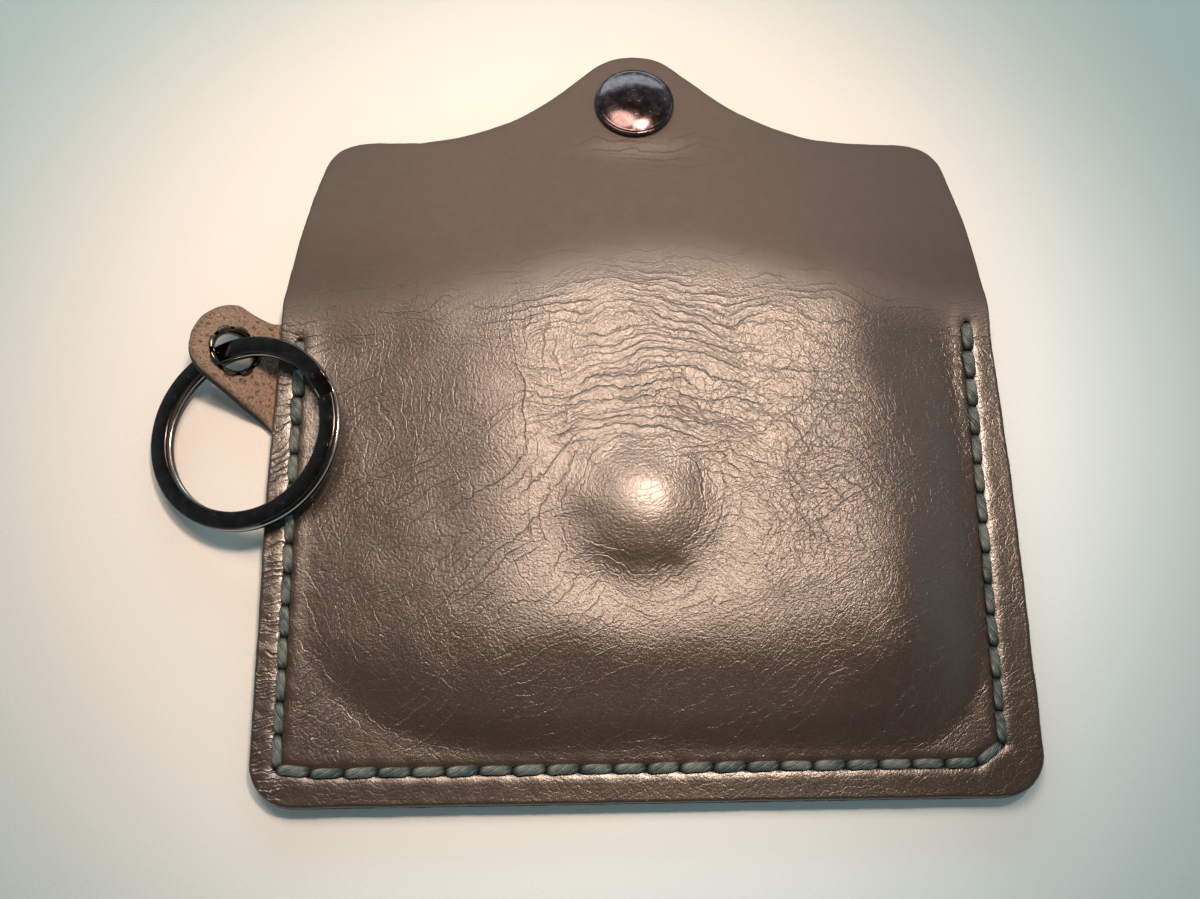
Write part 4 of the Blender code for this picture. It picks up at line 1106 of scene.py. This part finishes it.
def makeEyelet():
    form = eyeletForm
    curl = [np.array(p) for p in roundCurve(form["curl"], 4)]
    rows, columns = len(curl), form["columns"]
    width = 2 * math.pi / form["petals"]
    verts, faces = [], []
    for petal in range(form["petals"]):
        start = 2 * math.pi * petal / form["petals"] + 0.2
        stray = noise.noise(Vector((petal * 3.7, 1.3, 0)))
        base = len(verts)
        for layer in (0, 1):
            for k, (r, z) in enumerate(curl):
                s = k / (rows - 1)
                ahead = curl[min(k + 1, rows - 1)] - curl[max(k - 1, 0)]
                ahead = ahead / np.linalg.norm(ahead) * form["wall"] * layer
                narrow = 1 - form["slit"] * (0.4 + 1.4 * s) - 0.34 * s ** 3
                for u in np.linspace(-1, 1, columns):
                    angle = start + width * 0.5 * (1 + u * narrow) + 0.05 * stray * s
                    lift = z - ahead[0] + 0.07 * stray * s - 0.10 * u * u * s
                    far = r + ahead[1]
                    verts.append((far * math.cos(angle) * mm, far * math.sin(angle) * mm, lift * mm))

        def at(layer, k, c):
            return base + (layer * rows + k) * columns + c

        for k in range(rows - 1):
            for c in range(columns - 1):
                faces += [(at(n, k, c), at(n, k, c + 1), at(n, k + 1, c + 1), at(n, k + 1, c)) for n in (0, 1)]
            faces += [(at(0, k, c), at(0, k + 1, c), at(1, k + 1, c), at(1, k, c)) for c in (0, columns - 1)]
        for c in range(columns - 1):
            faces += [(at(0, k, c), at(0, k, c + 1), at(1, k, c + 1), at(1, k, c)) for k in (0, rows - 1)]
    barrel, walls = turnedShape(filletProfile(form["barrel"] + form["barrel"][:1], 0.1, 3)[:-1], 80)
    faces += [[i + len(verts) for i in wall] for wall in walls]
    return linkObject("splitEyelet", shapeMesh("eyelet", verts + barrel, faces, eyeletFrame, 50), eyeletPlate)


settle(makeEyelet(), "eyelet", "tab")

# key ring: two turns of one band, with the step where it climbs

ringForm = {"radius": 12.15 * mm, "band": 2.4 * mm, "thick": 1.06 * mm, "gap": 0.10 * mm, "edge": 0.30 * mm,
            "hollow": 0.05 * mm, "step": 27.0, "stepLength": 3.2 * mm, "endGap": 0.30 * mm, "perTurn": 200}
ringFrame = Matrix.Translation(wallet["ring"]) @ Matrix.Rotation(-wallet["ringTilt"], 4, "Y")


def makeSplitRing():
    form = ringForm
    radius, band, thick, corner = form["radius"], form["band"], form["thick"], form["edge"]
    step = form["stepLength"] / radius
    high = (thick + form["gap"]) / 2
    end = form["endGap"] / radius
    start = math.radians(form["step"]) + step / 2
    lowEnd = start + 2 * math.pi - step
    path = [(a, radius, -high) for a in np.linspace(start + end, lowEnd, form["perTurn"])]
    path += [(lowEnd + step * t, radius, high * (2 * smoothStep(t) - 1)) for t in np.linspace(0, 1, 16)[1:-1]]
    path += [(a, radius, high)
             for a in np.linspace(lowEnd + step, start + 4 * math.pi - step - end, form["perTurn"])]
    section = []
    for i, (x, y) in enumerate(((1, 1), (-1, 1), (-1, -1), (1, -1))):
        section += cornerArc((x * (band / 2 - corner), y * (thick / 2 - corner)), corner, 90 * i, 90 * i + 90, 6)
    section = [(a, b - form["hollow"] * (a / (band / 2)) ** 2 * (1 if b > 0 else -1)) for a, b in section]
    ring = sweptPiece("splitRing", ringFrame, path, section, ringPlate, 40)
    lit = [k in (2, 3, 8, 9) for k in range(len(section))]  # painted highlight on the upper edges of the lower turn
    putAttribute(ring.data, "edgeGlint", [float(height < 0 and on) for _, _, height in path for on in lit])
    return ring


settle(makeSplitRing(), "split_ring", "ring")
print("metal parts ready")

# table, lamps and camera

# the table's colours carry painted lamp light: a warm pool round the middle, cool light away from it, darker far
# out
floorLook = {
    "warmLitCream": (0.69, 0.71, 0.70, 1), "coolLitBlue": (0.80, 0.92, 0.97, 1), "far": (0.49, 0.66, 0.68, 1),
    "speck": (0.45, 0.40, 0.34, 1), "half": 1.5, "level": -0.00006, "middle": (-8.0, 28.0, 0.0),
}


def makeFloor():
    look = floorLook
    half = look["half"]
    mesh = bpy.data.meshes.new("table")
    mesh.from_pydata([(x * half, y * half, look["level"]) for x, y in ((-1, -1), (1, -1), (1, 1), (-1, 1))], [],
                     [(0, 1, 2, 3)])
    material, shader, w, place = newFinish("tableTop", {"Roughness": 0.7, "Specular IOR Level": 0.2})
    x, y = w.split(place)[:2]
    # painted light: warm cream where the key lamp's pool falls, cool blue away from it, and darker still further
    # out
    slope = w.span(w.minus(w.times(x, 0.9), y), -70.0, 45.0)
    away = w.vector("LENGTH", w.vector("SUBTRACT", place, look["middle"]))
    colour = w.mix(slope, look["warmLitCream"], look["coolLitBlue"])
    colour = w.mix(w.span(away, 62.0, 118.0), colour, look["far"])
    speck = w.span(w.noise(place, 0.9, 4.0, 0.7), 0.72, 0.80)
    w.fill(shader, {"Base Color": w.mix(w.times(speck, 0.15), colour, look["speck"]),
                    "Normal": w.bump(w.noise(place, 2.0, 3.0), 0.00004)})
    return linkObject("table", mesh, material)


makeFloor()

lamps = {
    # name: kind, place, aimed at, width, watts, colour
    "key": ("SPOT", (0.060, 0.124, 0.340), (-0.012, 0.041, 0), 0.055, 5.3, (1.0, 0.74, 0.57)),
    "lowKey": ("AREA", (-0.055, 0.165, 0.330), (-0.02, 0.04, 0), 0.14, 0.60, (1.0, 0.74, 0.58)),
    "window": ("AREA", (-0.03, 0.46, 0.18), (0, 0.03, 0), 0.50, 0.60, (0.70, 0.93, 1.0)),
}
spotAngle = math.radians(31)
windowHeight = 0.14
for lampName, (kind, place, aim, width, watts, colour) in lamps.items():
    lamp = bpy.data.lights.new(lampName, kind)
    if kind == "SPOT":
        lamp.spot_size = spotAngle
        lamp.spot_blend = 1.0
        lamp.shadow_soft_size = width / 2
    else:
        lamp.shape = "ELLIPSE"
        lamp.size = width
        lamp.size_y = min(width, windowHeight)
    lamp.energy = watts
    lamp.color = colour
    lampObject = linkObject(lampName, lamp)
    lampObject.location = place
    lampObject.rotation_euler = (Vector(aim) - Vector(place)).to_track_quat("-Z", "Y").to_euler()

roomLook = {"horizon": (0.72, 0.96, 1.0, 1), "top": (0.150, 0.125, 0.100, 1), "strength": 0.54}
world = bpy.data.worlds.new("room")
world.use_nodes = True
w = Wires(world.node_tree)
skyHeight = w.split(w.node("ShaderNodeTexCoord")["Generated"])[2]
w.fill(world.node_tree.nodes["Background"].inputs, {
    "Color": w.mix(w.span(skyHeight, 0.30, 0.95), roomLook["horizon"], roomLook["top"]),
    "Strength": roomLook["strength"]})
bpy.context.scene.world = world

cameraLook = {
    "location": (-0.0119, -0.0235, 0.1637), "right": (0.99931177, -0.01641933, 0.03326253),
    "up": (0.00590596, 0.95568835, 0.29432107), "forward": (0.03662116, 0.29392206, -0.95512759), "lens": 37.5,
}
camera = bpy.data.cameras.new("camera")
camera.lens = cameraLook["lens"]
camera.sensor_width = 36.0
camera.clip_start = 0.005
cameraObject = linkObject("camera", camera)
turn = Matrix((cameraLook["right"], cameraLook["up"], -Vector(cameraLook["forward"]))).transposed()
cameraObject.matrix_world = Matrix.Translation(cameraLook["location"]) @ turn.to_4x4()
bpy.context.scene.camera = cameraObject
bpy.context.scene.view_settings.view_transform = "Standard"
print("stage ready")
